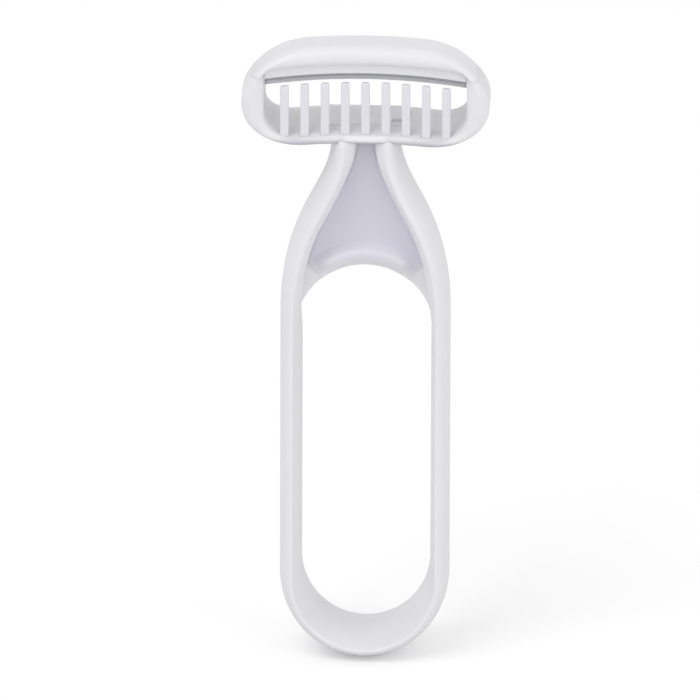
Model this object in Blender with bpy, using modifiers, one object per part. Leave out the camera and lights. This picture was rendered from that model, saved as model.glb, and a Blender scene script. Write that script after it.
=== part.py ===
"""Body razor: a long loop handle, a tapering neck with an inset panel, and a head with comb and blade.

Units are metres. +Z runs up the handle, the comb faces -Y, and Z = 0 is the lowest point of the loop.
A depth is measured backwards from the front plane of the handle.
"""

import math

import bmesh
import bpy
from mathutils import Vector

# Fits
GAP = 0.0003
OVERLAP = 0.0006
CUT_MARGIN = 0.002

# Handle loop: a band with a crowned outer face and a flat rim at the back
HANDLE_DEPTH = 0.016
LOOP_HALF_WIDTH = 0.01705
LOOP_END_HEIGHT = 0.0177
BAND_CROWN = 0.00246
BAND_FRONT_LAND = 0.00035
BAND_BACK_THICKNESS = 0.00416
SHOULDER_START = 0.074
SHOULDER_PULL = 0.010

# Neck: the band's two ends close in under the head
NECK_TOP = 0.1113
NECK_TOP_HALF_WIDTH = 0.0069
WAIST_HALF_WIDTH = 0.0126
WAIST_DROP = 0.015
WAIST_HEIGHT = NECK_TOP - WAIST_DROP
WAIST_PULL = 0.006
WAIST_LEAN = math.radians(26.7)
NECK_FLANK_THICKNESS = 0.0050
NECK_FLANK_DEPTH = 0.0055
NECK_BLEND_LEAD = 0.008
NECK_BLEND_START = SHOULDER_START - NECK_BLEND_LEAD
NECK_BLEND_LENGTH = 0.016
CHIN_SETBACK = 0.0038
CHIN_LENGTH = 0.008
NECK_BRIDGE_HEIGHT = 0.0010
NECK_BRIDGE_BACK_INSET = 0.0008

# Web between the neck's flanks, with an arch over the finger opening
WEB_FRONT_DEPTH = 0.0072
WEB_THICKNESS = 0.003
WEB_EDGE_OFFSET = 0.003
WEB_ARCH_SETBACK = 0.0003
ARCH_SPRING_DROP = 0.0051
ARCH_SPRING_HEIGHT = SHOULDER_START - ARCH_SPRING_DROP
ARCH_SIDE_INSET = 0.00275
ARCH_HALF_WIDTH = LOOP_HALF_WIDTH - ARCH_SIDE_INSET
ARCH_HEIGHT = 0.0156

# Inset neck panel, and the rounded bead along the arch that the panel and the handle share
PANEL_THICKNESS = 0.0014
PANEL_TOP_MARGIN = 0.0003
PANEL_END_ANGLE = math.radians(53)
PANEL_CORNER_REACH = 0.0030
PANEL_CORNER_RISE = 0.0007
BEAD_WIDTH = 0.0043
BEAD_SPRING_WIDTH = 0.0019
BEAD_PROUD = 0.0022
BEAD_SINK = 0.0002
BEAD_BACK_PROUD = 0.0005

# Head opening
OPENING_HALF_WIDTH = 0.0203
OPENING_HEIGHT = 0.0152
OPENING_BOTTOM_RADIUS = 0.0063
OPENING_TOP_RADIUS = 0.0013

# Head ring round the opening
FLOOR_THICKNESS = 0.0019
TOP_BAR_THICKNESS = 0.0036
SIDE_WALL = 0.00445
HEAD_SIDE_FLAT = 0.0011
HEAD_CORNER_WIDTH = 0.0120
HEAD_TOP_DEPTH = 0.009
HEAD_FRONT_ROUND = 0.0026
HEAD_LIP_ROUND = 0.0010
HEAD_BACK_ROUND = 0.0016
HEAD_BOW = 0.0014
HEAD_DROP = 0.0018
FLOOR_RISE = 0.0013
HEAD_HALF_WIDTH = OPENING_HALF_WIDTH + SIDE_WALL
HEAD_FLOOR_DEPTH = HANDLE_DEPTH - HEAD_BOW
HEAD_BOTTOM = NECK_TOP + GAP
OPENING_BOTTOM = HEAD_BOTTOM + FLOOR_THICKNESS
OPENING_TOP = OPENING_BOTTOM + OPENING_HEIGHT
HEAD_TOP = OPENING_TOP + TOP_BAR_THICKNESS
HEAD_CORNER_HEIGHT = (HEAD_TOP - HEAD_BOTTOM - HEAD_SIDE_FLAT) / 2
FLOOR_SLOPE = FLOOR_RISE / HEAD_FLOOR_DEPTH

# Front of the ring's section: shares of the wall with the setback there as a share of its edge's rounding
LIP_SHARE = 0.18
LIP_SETBACK = 0.3
CREST_SHARE = 0.42
BROW_SHARE = 0.70
BROW_SETBACK = 0.1
CHEEK_SHARE = 0.90
CHEEK_SETBACK = 0.42
HEEL_SHARE = 0.85
HEEL_SETBACK = 0.2
BACK_SHARE = 0.65

# Cap: the part of the ring above the parting plane, which pulls off to change the blade
PARTING_DROP = 0.0027
PARTING_HEIGHT = OPENING_TOP - PARTING_DROP
TONGUE_THICKNESS = 0.0010
TONGUE_INSET = 0.0008
TONGUE_WIDTH = 0.005
TONGUE_START_DEPTH = 0.003
TONGUE_LENGTH = 0.005

# Handle tongue: a T that slides into the head floor from behind
STEM_HALF_WIDTH = 0.0055
STEM_LENGTH = 0.0062
TEE_HALF_WIDTH = 0.0086
TEE_THICKNESS = 0.0012
TEE_START_DEPTH = 0.0068
TEE_BACK_MARGIN = 0.0003

# Comb
TOOTH_COUNT = 9
TOOTH_END_SPACE = 0.00414
TOOTH_PITCH = 2 * (OPENING_HALF_WIDTH - TOOTH_END_SPACE) / (TOOTH_COUNT - 1)
TOOTH_WIDTH = 0.0018
TOOTH_DEPTH = 0.0015
TOOTH_TIP_GAP = 0.0002
TOOTH_ROUND = 0.0003
COMB_FRONT_INSET = 0.0012
COMB_BASE_DEPTH = 0.0022
COMB_BASE_HEIGHT = 0.0005
COMB_BASE_MARGIN = 0.0004

# Blade, its clamp bar and the pins through them
BLADE_WIDTH = 0.006
BLADE_THICKNESS = 0.00025
BLADE_BEVEL = 0.0009
BLADE_TILT = math.radians(30.0)
BLADE_EDGE_DEPTH = 0.003
BLADE_EDGE_DROP = 0.0039
BLADE_EDGE_HEIGHT = OPENING_TOP - BLADE_EDGE_DROP
TOOTH_LENGTH = BLADE_EDGE_HEIGHT - OPENING_BOTTOM - TOOTH_TIP_GAP
SEAT_SETBACK = 0.0019
CLAMP_SETBACK = 0.0016
CLAMP_THICKNESS = 0.0012
CLAMP_END_MARGIN = 0.0006
PIN_END_SPACE = 0.0073
PIN_SPACING = OPENING_HALF_WIDTH - PIN_END_SPACE
PIN_SETBACK = 0.0036
PIN_RADIUS = 0.0007
PIN_HEAD_RADIUS = 0.0012
PIN_HEAD_HEIGHT = 0.0006
PIN_HOLD = 0.0018

# Mesh fineness
CROWN_STEPS = 8
LOOP_END_STEPS = 32
LOOP_SIDE_STEPS = 6
NECK_STEPS = 10
ARCH_STEPS = 24
BEAD_STEPS = 21
CORNER_STEPS = 8
HEAD_EDGE_STEPS = 12
HEAD_SIDE_STEPS = 3
PIN_STEPS = 20


def clear_scene():
    """Removes whatever the file holds."""
    for obj in list(bpy.data.objects):
        bpy.data.objects.remove(obj, do_unlink=True)


def new_collection(name):
    collection = bpy.data.collections.new(name)
    bpy.context.scene.collection.children.link(collection)
    return collection


def new_material(name, colour, roughness, metallic=0.0):
    material = bpy.data.materials.new(name)
    material.use_nodes = True
    shader = material.node_tree.nodes["Principled BSDF"]
    shader.inputs["Base Color"].default_value = (*colour, 1.0)
    shader.inputs["Roughness"].default_value = roughness
    shader.inputs["Metallic"].default_value = metallic
    return material


def object_from(bm, name, collection):
    """An object that holds the bmesh, faces outwards."""
    bmesh.ops.recalc_face_normals(bm, faces=bm.faces)
    mesh = bpy.data.meshes.new(name)
    bm.to_mesh(mesh)
    bm.free()
    obj = bpy.data.objects.new(name, mesh)
    collection.objects.link(obj)
    return obj


def at_depth(x, depth, z):
    """The world point at a depth behind the handle's front plane."""
    return Vector((x, depth - HANDLE_DEPTH / 2, z))


def bowed(x, depth, z):
    """A point of the head: the middle of the head stands back and up, and its ends come forward and down."""
    share = (x / HEAD_HALF_WIDTH) ** 2
    return at_depth(x, depth + HEAD_BOW * (1 - share), z - HEAD_DROP * share)


def loft(name, rings, collection, cyclic=False):
    """A closed skin over rings of points, all with the same count."""
    bm = bmesh.new()
    rows = [[bm.verts.new(point) for point in ring] for ring in rings]
    pairs = list(zip(rows, rows[1:]))
    if cyclic:
        pairs.append((rows[-1], rows[0]))
    for first, second in pairs:
        for here in range(len(first)):
            after = (here + 1) % len(first)
            bm.faces.new((first[here], first[after], second[after], second[here]))
    if not cyclic:
        bm.faces.new(rows[0])
        bm.faces.new(reversed(rows[-1]))
    return object_from(bm, name, collection)


def box(name, low, high, collection):
    """A box between two corners, each (x, depth, z)."""
    start = at_depth(*low)
    end = at_depth(*high)
    bm = bmesh.new()
    bmesh.ops.create_cube(bm, size=1.0)
    for vertex in bm.verts:
        vertex.co = (start + end) / 2 + Vector(a * b for a, b in zip(vertex.co, end - start))
    return object_from(bm, name, collection)


def head_bar(name, half_length, section, collection):
    """A bar along the head that follows its bow, with a section of (depth, z) points."""
    stations = [half_length * (2 * step / HEAD_EDGE_STEPS - 1) for step in range(HEAD_EDGE_STEPS + 1)]
    rings = [[bowed(x, depth, z) for depth, z in section] for x in stations]
    return loft(name, rings, collection)


def plate(name, outline, front_depth, thickness, collection):
    """A flat plate with an (x, z) outline, drawn as a filled curve and made a mesh."""
    curve = bpy.data.curves.new(name, "CURVE")
    curve.dimensions = "2D"
    curve.fill_mode = "BOTH"
    curve.extrude = thickness / 2
    spline = curve.splines.new("POLY")
    spline.points.add(len(outline) - 1)
    for point, (x, z) in zip(spline.points, outline):
        point.co = (x, z, 0.0, 1.0)
    spline.use_cyclic_u = True
    drawn = bpy.data.objects.new(name + "_outline", curve)
    collection.objects.link(drawn)
    drawn.rotation_euler = (math.radians(90), 0.0, 0.0)
    drawn.location = at_depth(0.0, front_depth + thickness / 2, 0.0)
    bpy.context.view_layer.update()
    mesh = bpy.data.meshes.new_from_object(drawn.evaluated_get(bpy.context.evaluated_depsgraph_get()))
    placed = drawn.matrix_world.copy()
    bpy.data.objects.remove(drawn, do_unlink=True)
    bm = bmesh.new()
    bm.from_mesh(mesh)
    bpy.data.meshes.remove(mesh)
    bm.transform(placed)
    bmesh.ops.remove_doubles(bm, verts=bm.verts, dist=1e-6)
    return object_from(bm, name, collection)


def combine(target, other, operation):
    """Adds a Boolean with a helper object, which then stays out of the model."""
    other.hide_render = True
    other.display_type = "WIRE"
    modifier = target.modifiers.new(other.name, "BOOLEAN")
    modifier.operation = operation
    modifier.solver = "EXACT"
    modifier.object = other


def finish(obj, material, smooth_angle=40.0):
    obj.data.materials.clear()
    obj.data.materials.append(material)
    obj.data.shade_smooth()
    obj.data.set_sharp_from_angle(angle=math.radians(smooth_angle))


def bezier(start, start_pull, end_pull, end, steps):
    """Points of a cubic after its start."""
    points = []
    for step in range(1, steps + 1):
        t = step / steps
        points.append(
            start * (1 - t) ** 3
            + start_pull * (3 * t * (1 - t) ** 2)
            + end_pull * (3 * t**2 * (1 - t))
            + end * t**3
        )
    return points


def band_path():
    """The handle's silhouette as (x, z) points, from the neck's top down round the loop and up again."""
    right = []
    for step in range(LOOP_END_STEPS // 2 + 1):
        angle = math.pi / 2 * (2 * step / LOOP_END_STEPS)
        right.append(Vector((LOOP_HALF_WIDTH * math.sin(angle), LOOP_END_HEIGHT * (1 - math.cos(angle)))))
    for step in range(1, LOOP_SIDE_STEPS + 1):
        height = LOOP_END_HEIGHT + (SHOULDER_START - LOOP_END_HEIGHT) * step / LOOP_SIDE_STEPS
        right.append(Vector((LOOP_HALF_WIDTH, height)))
    shoulder = right[-1]
    waist = Vector((WAIST_HALF_WIDTH, WAIST_HEIGHT))
    lean = Vector((-math.sin(WAIST_LEAN), math.cos(WAIST_LEAN)))
    top = Vector((NECK_TOP_HALF_WIDTH, NECK_TOP))
    up = Vector((0.0, 1.0))
    right += bezier(shoulder, shoulder + up * SHOULDER_PULL, waist - lean * WAIST_PULL, waist, NECK_STEPS)
    right += bezier(waist, waist + lean * WAIST_PULL, top - up * WAIST_PULL, top, NECK_STEPS)
    left = [Vector((-point.x, point.y)) for point in reversed(right[1:])]
    return left + right


def inward(path, index):
    """The unit direction from the silhouette into the handle."""
    if index in (0, len(path) - 1):
        return Vector((-1.0 if path[index].x > 0 else 1.0, 0.0))
    along = (path[index + 1] - path[index - 1]).normalized()
    return Vector((-along.y, along.x))


def neck_share(z):
    """0 in the loop, 1 in the neck, smooth between."""
    share = (z - NECK_BLEND_START) / NECK_BLEND_LENGTH
    share = min(max(share, 0.0), 1.0)
    return share * share * (3 - 2 * share)


def chin_depth(z):
    """Depth of the handle's front, which draws back just under the head."""
    share = (z - NECK_TOP + CHIN_LENGTH) / CHIN_LENGTH
    return CHIN_SETBACK * max(share, 0.0) ** 2


def band_section(z):
    """(offset inwards, depth) points round the band's section at a height."""
    chin = chin_depth(z)
    half_depth = (HANDLE_DEPTH - chin) / 2
    points = []
    for step in range(CROWN_STEPS + 1):
        angle = math.pi * step / CROWN_STEPS
        points.append((BAND_CROWN * (1 - math.sin(angle)), chin + half_depth * (1 - math.cos(angle))))
    front = BAND_CROWN + BAND_FRONT_LAND
    share = neck_share(z)
    flank = (HANDLE_DEPTH - NECK_FLANK_DEPTH, NECK_FLANK_DEPTH)
    for depth in (HANDLE_DEPTH, *flank, chin):
        in_loop = front + (BAND_BACK_THICKNESS - front) * depth / HANDLE_DEPTH
        in_neck = NECK_FLANK_THICKNESS if depth in flank else front
        points.append((in_loop + (in_neck - in_loop) * share, depth))
    return points


def side_line(path, offset, lowest):
    """The right side of the neck, offset inwards, as (x, z) points above a height."""
    points = []
    for index, point in enumerate(path):
        moved = point + inward(path, index) * offset
        if point.x > 0 and moved.y > lowest:
            points.append((moved.x, min(moved.y, NECK_TOP)))
    return points


def arch_line(half_width, height, end_angle):
    """Points along the arch over the finger opening, right to left."""
    points = []
    for step in range(ARCH_STEPS + 1):
        angle = end_angle + (math.pi - 2 * end_angle) * step / ARCH_STEPS
        points.append((half_width * math.cos(angle), ARCH_SPRING_HEIGHT + height * math.sin(angle)))
    return points


def closed_outline(arch, side):
    """The arch, then up the left side and down the right."""
    return arch + [(-x, z) for x, z in side] + list(reversed(side))


def floor_height(depth):
    """Height of the head's floor, which rises towards the back."""
    return OPENING_BOTTOM + FLOOR_SLOPE * depth


def tee(name, margin, back_depth, collection):
    """The T of the handle's tongue, or its recess when the margin is above 0."""
    start = HEAD_BOW + TEE_START_DEPTH - margin
    rings = []
    for side in (-1, 1):
        x = side * (TEE_HALF_WIDTH + margin)
        ring = []
        for depth, above in ((start, False), (back_depth, False), (back_depth, True), (start, True)):
            top = floor_height(depth - HEAD_BOW) + (CUT_MARGIN if margin else 0.0)
            under = floor_height(depth - HEAD_BOW) - TEE_THICKNESS - margin
            ring.append(at_depth(x, depth, top if above else under))
        rings.append(ring)
    return loft(name, rings, collection)


def make_handle(parts, helpers, plastic):
    """The handle's moulding: loop, neck flanks, web, bridge and tongue."""
    path = band_path()
    rings = []
    for index, point in enumerate(path):
        inwards = inward(path, index)
        ring = []
        for offset, depth in band_section(point.y):
            moved = point + inwards * offset
            ring.append(at_depth(moved.x, depth, moved.y))
        rings.append(ring)
    handle = loft("handle_frame", rings, parts)

    side = side_line(path, WEB_EDGE_OFFSET, ARCH_SPRING_HEIGHT)
    arch = arch_line(ARCH_HALF_WIDTH + WEB_ARCH_SETBACK, ARCH_HEIGHT + WEB_ARCH_SETBACK, 0.0)
    outline = closed_outline(arch, side)
    combine(handle, plate("web", outline, WEB_FRONT_DEPTH, WEB_THICKNESS, helpers), "UNION")
    rim_back = WEB_FRONT_DEPTH + WEB_THICKNESS + BEAD_BACK_PROUD
    rim_end = PANEL_END_ANGLE - GAP / ARCH_HEIGHT
    combine(handle, make_bead("rim_right", 0.0, rim_end, rim_back, helpers), "UNION")
    combine(handle, make_bead("rim_left", math.pi - rim_end, math.pi, rim_back, helpers), "UNION")

    bridge_half = NECK_TOP_HALF_WIDTH - BAND_CROWN
    bridge_low = (-bridge_half, WEB_FRONT_DEPTH + OVERLAP, NECK_TOP - NECK_BRIDGE_HEIGHT)
    bridge_high = (bridge_half, HANDLE_DEPTH - NECK_BRIDGE_BACK_INSET, NECK_TOP)
    combine(handle, box("neck_bridge", bridge_low, bridge_high, helpers), "UNION")

    stem_start = HEAD_BOW + TEE_START_DEPTH + OVERLAP
    stem_top = floor_height(TEE_START_DEPTH) - TEE_THICKNESS / 2
    stem_low = (-STEM_HALF_WIDTH, stem_start, NECK_TOP - NECK_BRIDGE_HEIGHT / 2)
    stem_high = (STEM_HALF_WIDTH, stem_start + STEM_LENGTH, stem_top)
    combine(handle, box("stem", stem_low, stem_high, helpers), "UNION")
    tee_back = HEAD_BOW + HEAD_FLOOR_DEPTH - TEE_BACK_MARGIN
    combine(handle, tee("tee", 0.0, tee_back, helpers), "UNION")
    finish(handle, plastic)
    return path


def panel_front():
    """Depth of the panel's front face."""
    return WEB_FRONT_DEPTH - GAP - PANEL_THICKNESS


def panel_outline(path):
    """The panel's outline between the flanks, with its lower edge inside the bead."""
    edge = NECK_FLANK_THICKNESS + GAP
    end_angle = PANEL_END_ANGLE + OVERLAP / ARCH_HEIGHT
    arch = arch_line(ARCH_HALF_WIDTH + OVERLAP, ARCH_HEIGHT + OVERLAP, end_angle)
    corner_height = ARCH_SPRING_HEIGHT + (ARCH_HEIGHT + PANEL_CORNER_REACH) * math.sin(end_angle)
    highest = NECK_TOP - PANEL_TOP_MARGIN
    side = [((ARCH_HALF_WIDTH + PANEL_CORNER_REACH) * math.cos(end_angle), corner_height)]
    side += [(x, z) for x, z in side_line(path, edge, corner_height + PANEL_CORNER_RISE) if z < highest]
    side.append((NECK_TOP_HALF_WIDTH - edge, highest))
    return closed_outline(arch, side)


def make_bead(name, start_angle, end_angle, back_depth, helpers):
    """The rounded bead along a stretch of the arch, narrower where it runs out into the loop's sides."""
    rings = []
    for step in range(BEAD_STEPS + 1):
        angle = start_angle + (end_angle - start_angle) * step / BEAD_STEPS
        half_width = (BEAD_SPRING_WIDTH + (BEAD_WIDTH - BEAD_SPRING_WIDTH) * math.sin(angle) ** 2) / 2
        ring = [(0.0, back_depth)]
        for turn in range(CROWN_STEPS + 1):
            across = math.pi * turn / CROWN_STEPS
            proud = (BEAD_PROUD + BEAD_SINK) * math.sin(across) - BEAD_SINK
            ring.append((half_width * (1 - math.cos(across)), panel_front() - proud))
        ring.append((2 * half_width, back_depth))
        points = []
        for out, depth in ring:
            x = (ARCH_HALF_WIDTH + out) * math.cos(angle)
            points.append(at_depth(x, depth, ARCH_SPRING_HEIGHT + (ARCH_HEIGHT + out) * math.sin(angle)))
        rings.append(points)
    return loft(name, rings, helpers)


def make_panel(path, parts, helpers, plastic):
    """The panel set between the neck's flanks, with the middle of the bead over the finger opening."""
    panel = plate("neck_panel", panel_outline(path), panel_front(), PANEL_THICKNESS, parts)
    back_depth = WEB_FRONT_DEPTH - GAP - OVERLAP / 2
    bead = make_bead("bead", PANEL_END_ANGLE, math.pi - PANEL_END_ANGLE, back_depth, helpers)
    combine(panel, bead, "UNION")
    finish(panel, plastic)


def rounded_outline(half_width, bottom, top, bottom_corner, top_corner):
    """(x, z) points round a rectangle with (width, height) round corners, from its bottom right corner."""
    low_width, low_height = bottom_corner
    top_width, top_height = top_corner
    low_x, low_z = half_width - low_width, bottom + low_height
    top_x, top_z = half_width - top_width, top - top_height
    corners = (
        (low_x, low_z, bottom_corner, -90, HEAD_SIDE_STEPS),
        (top_x, top_z, top_corner, 0, HEAD_EDGE_STEPS),
        (-top_x, top_z, top_corner, 90, HEAD_SIDE_STEPS),
        (-low_x, low_z, bottom_corner, 180, HEAD_EDGE_STEPS),
    )
    arcs = []
    for x, z, (width, height), start, _ in corners:
        turns = [math.radians(start + 90 * step / CORNER_STEPS) for step in range(CORNER_STEPS + 1)]
        arcs.append([Vector((x + width * math.cos(turn), z + height * math.sin(turn))) for turn in turns])
    points = []
    for index, arc in enumerate(arcs):
        points += arc
        after = arcs[(index + 1) % len(arcs)][0]
        steps = corners[index][4]
        points += [arc[-1].lerp(after, step / steps) for step in range(1, steps)]
    return points


def back_depth(z):
    """Depth of the head's back face, which slants from the floor to the top bar."""
    share = (z - OPENING_BOTTOM) / (OPENING_TOP - OPENING_BOTTOM)
    return HEAD_FLOOR_DEPTH + (HEAD_TOP_DEPTH - HEAD_FLOOR_DEPTH) * min(max(share, 0.0), 1.0)


def head_ring(name, collection):
    """The whole head ring, before it is parted."""
    inner_low = (OPENING_BOTTOM_RADIUS, OPENING_BOTTOM_RADIUS)
    inner_top = (OPENING_TOP_RADIUS, OPENING_TOP_RADIUS)
    inner = rounded_outline(OPENING_HALF_WIDTH, OPENING_BOTTOM, OPENING_TOP, inner_low, inner_top)
    corner = (HEAD_CORNER_WIDTH, HEAD_CORNER_HEIGHT)
    outer = rounded_outline(HEAD_HALF_WIDTH, HEAD_BOTTOM, HEAD_TOP, corner, corner)
    middle = (OPENING_BOTTOM + OPENING_TOP) / 2
    rings = []
    for near, far in zip(inner, outer):
        back = back_depth(near.y)
        outer_back = back_depth(far.y)
        section = (
            (0.0, back),
            (0.0, HEAD_LIP_ROUND),
            (LIP_SHARE, HEAD_LIP_ROUND * LIP_SETBACK),
            (CREST_SHARE, 0.0),
            (BROW_SHARE, HEAD_FRONT_ROUND * BROW_SETBACK),
            (CHEEK_SHARE, HEAD_FRONT_ROUND * CHEEK_SETBACK),
            (1.0, HEAD_FRONT_ROUND),
            (1.0, outer_back - HEAD_BACK_ROUND),
            (HEEL_SHARE, outer_back - HEAD_BACK_ROUND * HEEL_SETBACK),
            (BACK_SHARE, outer_back),
        )
        low_share = min(max((middle - near.y) / (middle - OPENING_BOTTOM), 0.0), 1.0)
        ring = []
        for across, depth in section:
            point = near.lerp(far, across)
            rise = FLOOR_SLOPE * depth * low_share * (1 - across)
            ring.append(bowed(point.x, depth, point.y + rise))
        rings.append(ring)
    return loft(name, rings, collection, cyclic=True)


def tongue_box(name, side, margin, top, collection):
    """A cap tongue, or its pocket when the margin is above 0."""
    start = OPENING_HALF_WIDTH + TONGUE_INSET
    near = side * (start - margin)
    far = side * (start + TONGUE_THICKNESS + margin)
    low = (min(near, far), TONGUE_START_DEPTH - margin, PARTING_HEIGHT - TONGUE_LENGTH - margin)
    high = (max(near, far), TONGUE_START_DEPTH + TONGUE_WIDTH + margin, top)
    return box(name, low, high, collection)


def make_head_frame(parts, helpers, plastic):
    """The lower head: floor and end walls, with a groove for the comb and sockets for the tongues."""
    frame = head_ring("head_frame", parts)
    reach = HEAD_HALF_WIDTH + CUT_MARGIN
    above_low = (-reach, -CUT_MARGIN, PARTING_HEIGHT)
    above_high = (reach, HANDLE_DEPTH + CUT_MARGIN, HEAD_TOP + CUT_MARGIN)
    combine(frame, box("above_parting", above_low, above_high, helpers), "DIFFERENCE")

    front = COMB_FRONT_INSET - GAP
    back = COMB_FRONT_INSET + COMB_BASE_DEPTH + GAP
    bottom = OPENING_BOTTOM - COMB_BASE_HEIGHT - GAP
    top = OPENING_BOTTOM + CUT_MARGIN
    groove = ((front, bottom), (back, bottom), (back, top), (front, top))
    combine(frame, head_bar("comb_groove", comb_half_length() + GAP, groove, helpers), "DIFFERENCE")

    behind = HANDLE_DEPTH + CUT_MARGIN
    combine(frame, tee("tee_recess", GAP, behind, helpers), "DIFFERENCE")
    stem_start = HEAD_BOW + TEE_START_DEPTH + OVERLAP - GAP
    slot_low = (-STEM_HALF_WIDTH - GAP, stem_start, HEAD_BOTTOM - CUT_MARGIN)
    slot_high = (STEM_HALF_WIDTH + GAP, behind, OPENING_BOTTOM)
    combine(frame, box("stem_slot", slot_low, slot_high, helpers), "DIFFERENCE")

    for side, word in ((-1, "left"), (1, "right")):
        pocket = tongue_box("pocket_" + word, side, GAP, PARTING_HEIGHT + CUT_MARGIN, helpers)
        combine(frame, pocket, "DIFFERENCE")
    finish(frame, plastic)


def comb_half_length():
    return TOOTH_PITCH * (TOOTH_COUNT - 1) / 2 + TOOTH_WIDTH / 2 + COMB_BASE_MARGIN


def make_comb(parts, helpers, plastic):
    """The comb: a base strip in the floor's groove and a row of upright teeth."""
    front = COMB_FRONT_INSET
    back = front + COMB_BASE_DEPTH
    bottom = OPENING_BOTTOM - COMB_BASE_HEIGHT
    section = (
        (front, bottom),
        (back, bottom),
        (back, floor_height(back)),
        (front, floor_height(front)),
    )
    comb = head_bar("comb", comb_half_length(), section, parts)
    for number in range(TOOTH_COUNT):
        x = TOOTH_PITCH * (number - (TOOTH_COUNT - 1) / 2)
        centre = bowed(x, front + TOOTH_DEPTH / 2, OPENING_BOTTOM)
        foot = COMB_BASE_HEIGHT / 2
        tooth = box(
            f"tooth_{number + 1}",
            (x - TOOTH_WIDTH / 2, centre.y + (HANDLE_DEPTH - TOOTH_DEPTH) / 2, centre.z - foot),
            (x + TOOTH_WIDTH / 2, centre.y + (HANDLE_DEPTH + TOOTH_DEPTH) / 2, centre.z + TOOTH_LENGTH),
            helpers,
        )
        rounding = tooth.modifiers.new("rounding", "BEVEL")
        rounding.width = TOOTH_ROUND
        rounding.segments = 2
        combine(comb, tooth, "UNION")
    finish(comb, plastic)


def on_blade(along, above):
    """(depth, z) of a point measured from the blade's edge, along its width and above its lower face."""
    depth = BLADE_EDGE_DEPTH + along * math.cos(BLADE_TILT) - above * math.sin(BLADE_TILT)
    height = BLADE_EDGE_HEIGHT + along * math.sin(BLADE_TILT) + above * math.cos(BLADE_TILT)
    return depth, height


def pin_turned(name, profile, x, collection):
    """A turned piece on a pin's axis, from (radius, height above the blade) points, top to bottom."""
    mesh = bpy.data.meshes.new(name)
    edges = [(index, index + 1) for index in range(len(profile) - 1)]
    mesh.from_pydata([(radius, 0.0, height) for radius, height in profile], edges, [])
    obj = bpy.data.objects.new(name, mesh)
    collection.objects.link(obj)
    screw = obj.modifiers.new("turn", "SCREW")
    screw.steps = PIN_STEPS
    screw.render_steps = PIN_STEPS
    screw.use_merge_vertices = True
    screw.merge_threshold = 0.00001
    obj.location = bowed(x, *on_blade(PIN_SETBACK, 0.0))
    obj.rotation_euler = (BLADE_TILT, 0.0, 0.0)
    return obj


def pin_places():
    return (("left", -PIN_SPACING), ("middle", 0.0), ("right", PIN_SPACING))


def drill(target, x, low, high, helpers):
    """Cuts a pin's clearance hole between two heights above the blade's lower face."""
    radius = PIN_RADIUS + GAP
    profile = ((0.0, high), (radius, high), (radius, low), (0.0, low))
    hole = pin_turned(f"{target.name}_hole", profile, x, helpers)
    combine(target, hole, "DIFFERENCE")


def seat_gap():
    return BLADE_THICKNESS + GAP


def make_cap(parts, helpers, plastic):
    """The cap: top bar, upper ends, the sloping seat for the blade, and two tongues."""
    cap = head_ring("head_cap", parts)
    reach = HEAD_HALF_WIDTH + CUT_MARGIN
    below_low = (-reach, -CUT_MARGIN, HEAD_BOTTOM - HEAD_DROP - CUT_MARGIN)
    below_high = (reach, HANDLE_DEPTH + CUT_MARGIN, PARTING_HEIGHT + GAP)
    combine(cap, box("below_parting", below_low, below_high, helpers), "DIFFERENCE")

    front_depth, front_height = on_blade(SEAT_SETBACK, seat_gap())
    back = HEAD_TOP_DEPTH - OVERLAP / 2
    back_height = front_height + (back - front_depth) * math.tan(BLADE_TILT)
    top = max(OPENING_TOP, back_height) + OVERLAP
    seat = ((front_depth, front_height), (back, back_height), (back, top), (front_depth, top))
    combine(cap, head_bar("blade_seat", OPENING_HALF_WIDTH - GAP, seat, helpers), "UNION")
    for side, word in ((-1, "left"), (1, "right")):
        tongue = tongue_box("tongue_" + word, side, 0.0, PARTING_HEIGHT + OVERLAP, helpers)
        combine(cap, tongue, "UNION")
    for _, x in pin_places():
        drill(cap, x, 0.0, seat_gap() + PIN_HOLD + GAP, helpers)
    finish(cap, plastic)
    return cap


def make_blade(parts, helpers, steel):
    """The steel strip, ground to an edge in front and pierced for the pins."""
    section = (
        on_blade(0.0, BLADE_THICKNESS * 0.2),
        on_blade(BLADE_BEVEL, 0.0),
        on_blade(BLADE_WIDTH, 0.0),
        on_blade(BLADE_WIDTH, BLADE_THICKNESS),
        on_blade(BLADE_BEVEL, BLADE_THICKNESS),
        on_blade(0.0, BLADE_THICKNESS * 0.4),
    )
    blade = head_bar("blade", OPENING_HALF_WIDTH - GAP, section, parts)
    for _, x in pin_places():
        drill(blade, x, -CUT_MARGIN, CUT_MARGIN, helpers)
    finish(blade, steel)
    return blade


def make_clamp(parts, helpers, plastic):
    """The clamp bar under the blade."""
    section = (
        on_blade(CLAMP_SETBACK, -GAP - CLAMP_THICKNESS),
        on_blade(BLADE_WIDTH, -GAP - CLAMP_THICKNESS),
        on_blade(BLADE_WIDTH, -GAP),
        on_blade(CLAMP_SETBACK - CLAMP_THICKNESS / 3, -GAP),
    )
    clamp = head_bar("blade_clamp", OPENING_HALF_WIDTH - GAP - CLAMP_END_MARGIN, section, parts)
    for _, x in pin_places():
        drill(clamp, x, -GAP - CLAMP_THICKNESS - CUT_MARGIN, CUT_MARGIN, helpers)
    finish(clamp, plastic)
    return clamp


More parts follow.
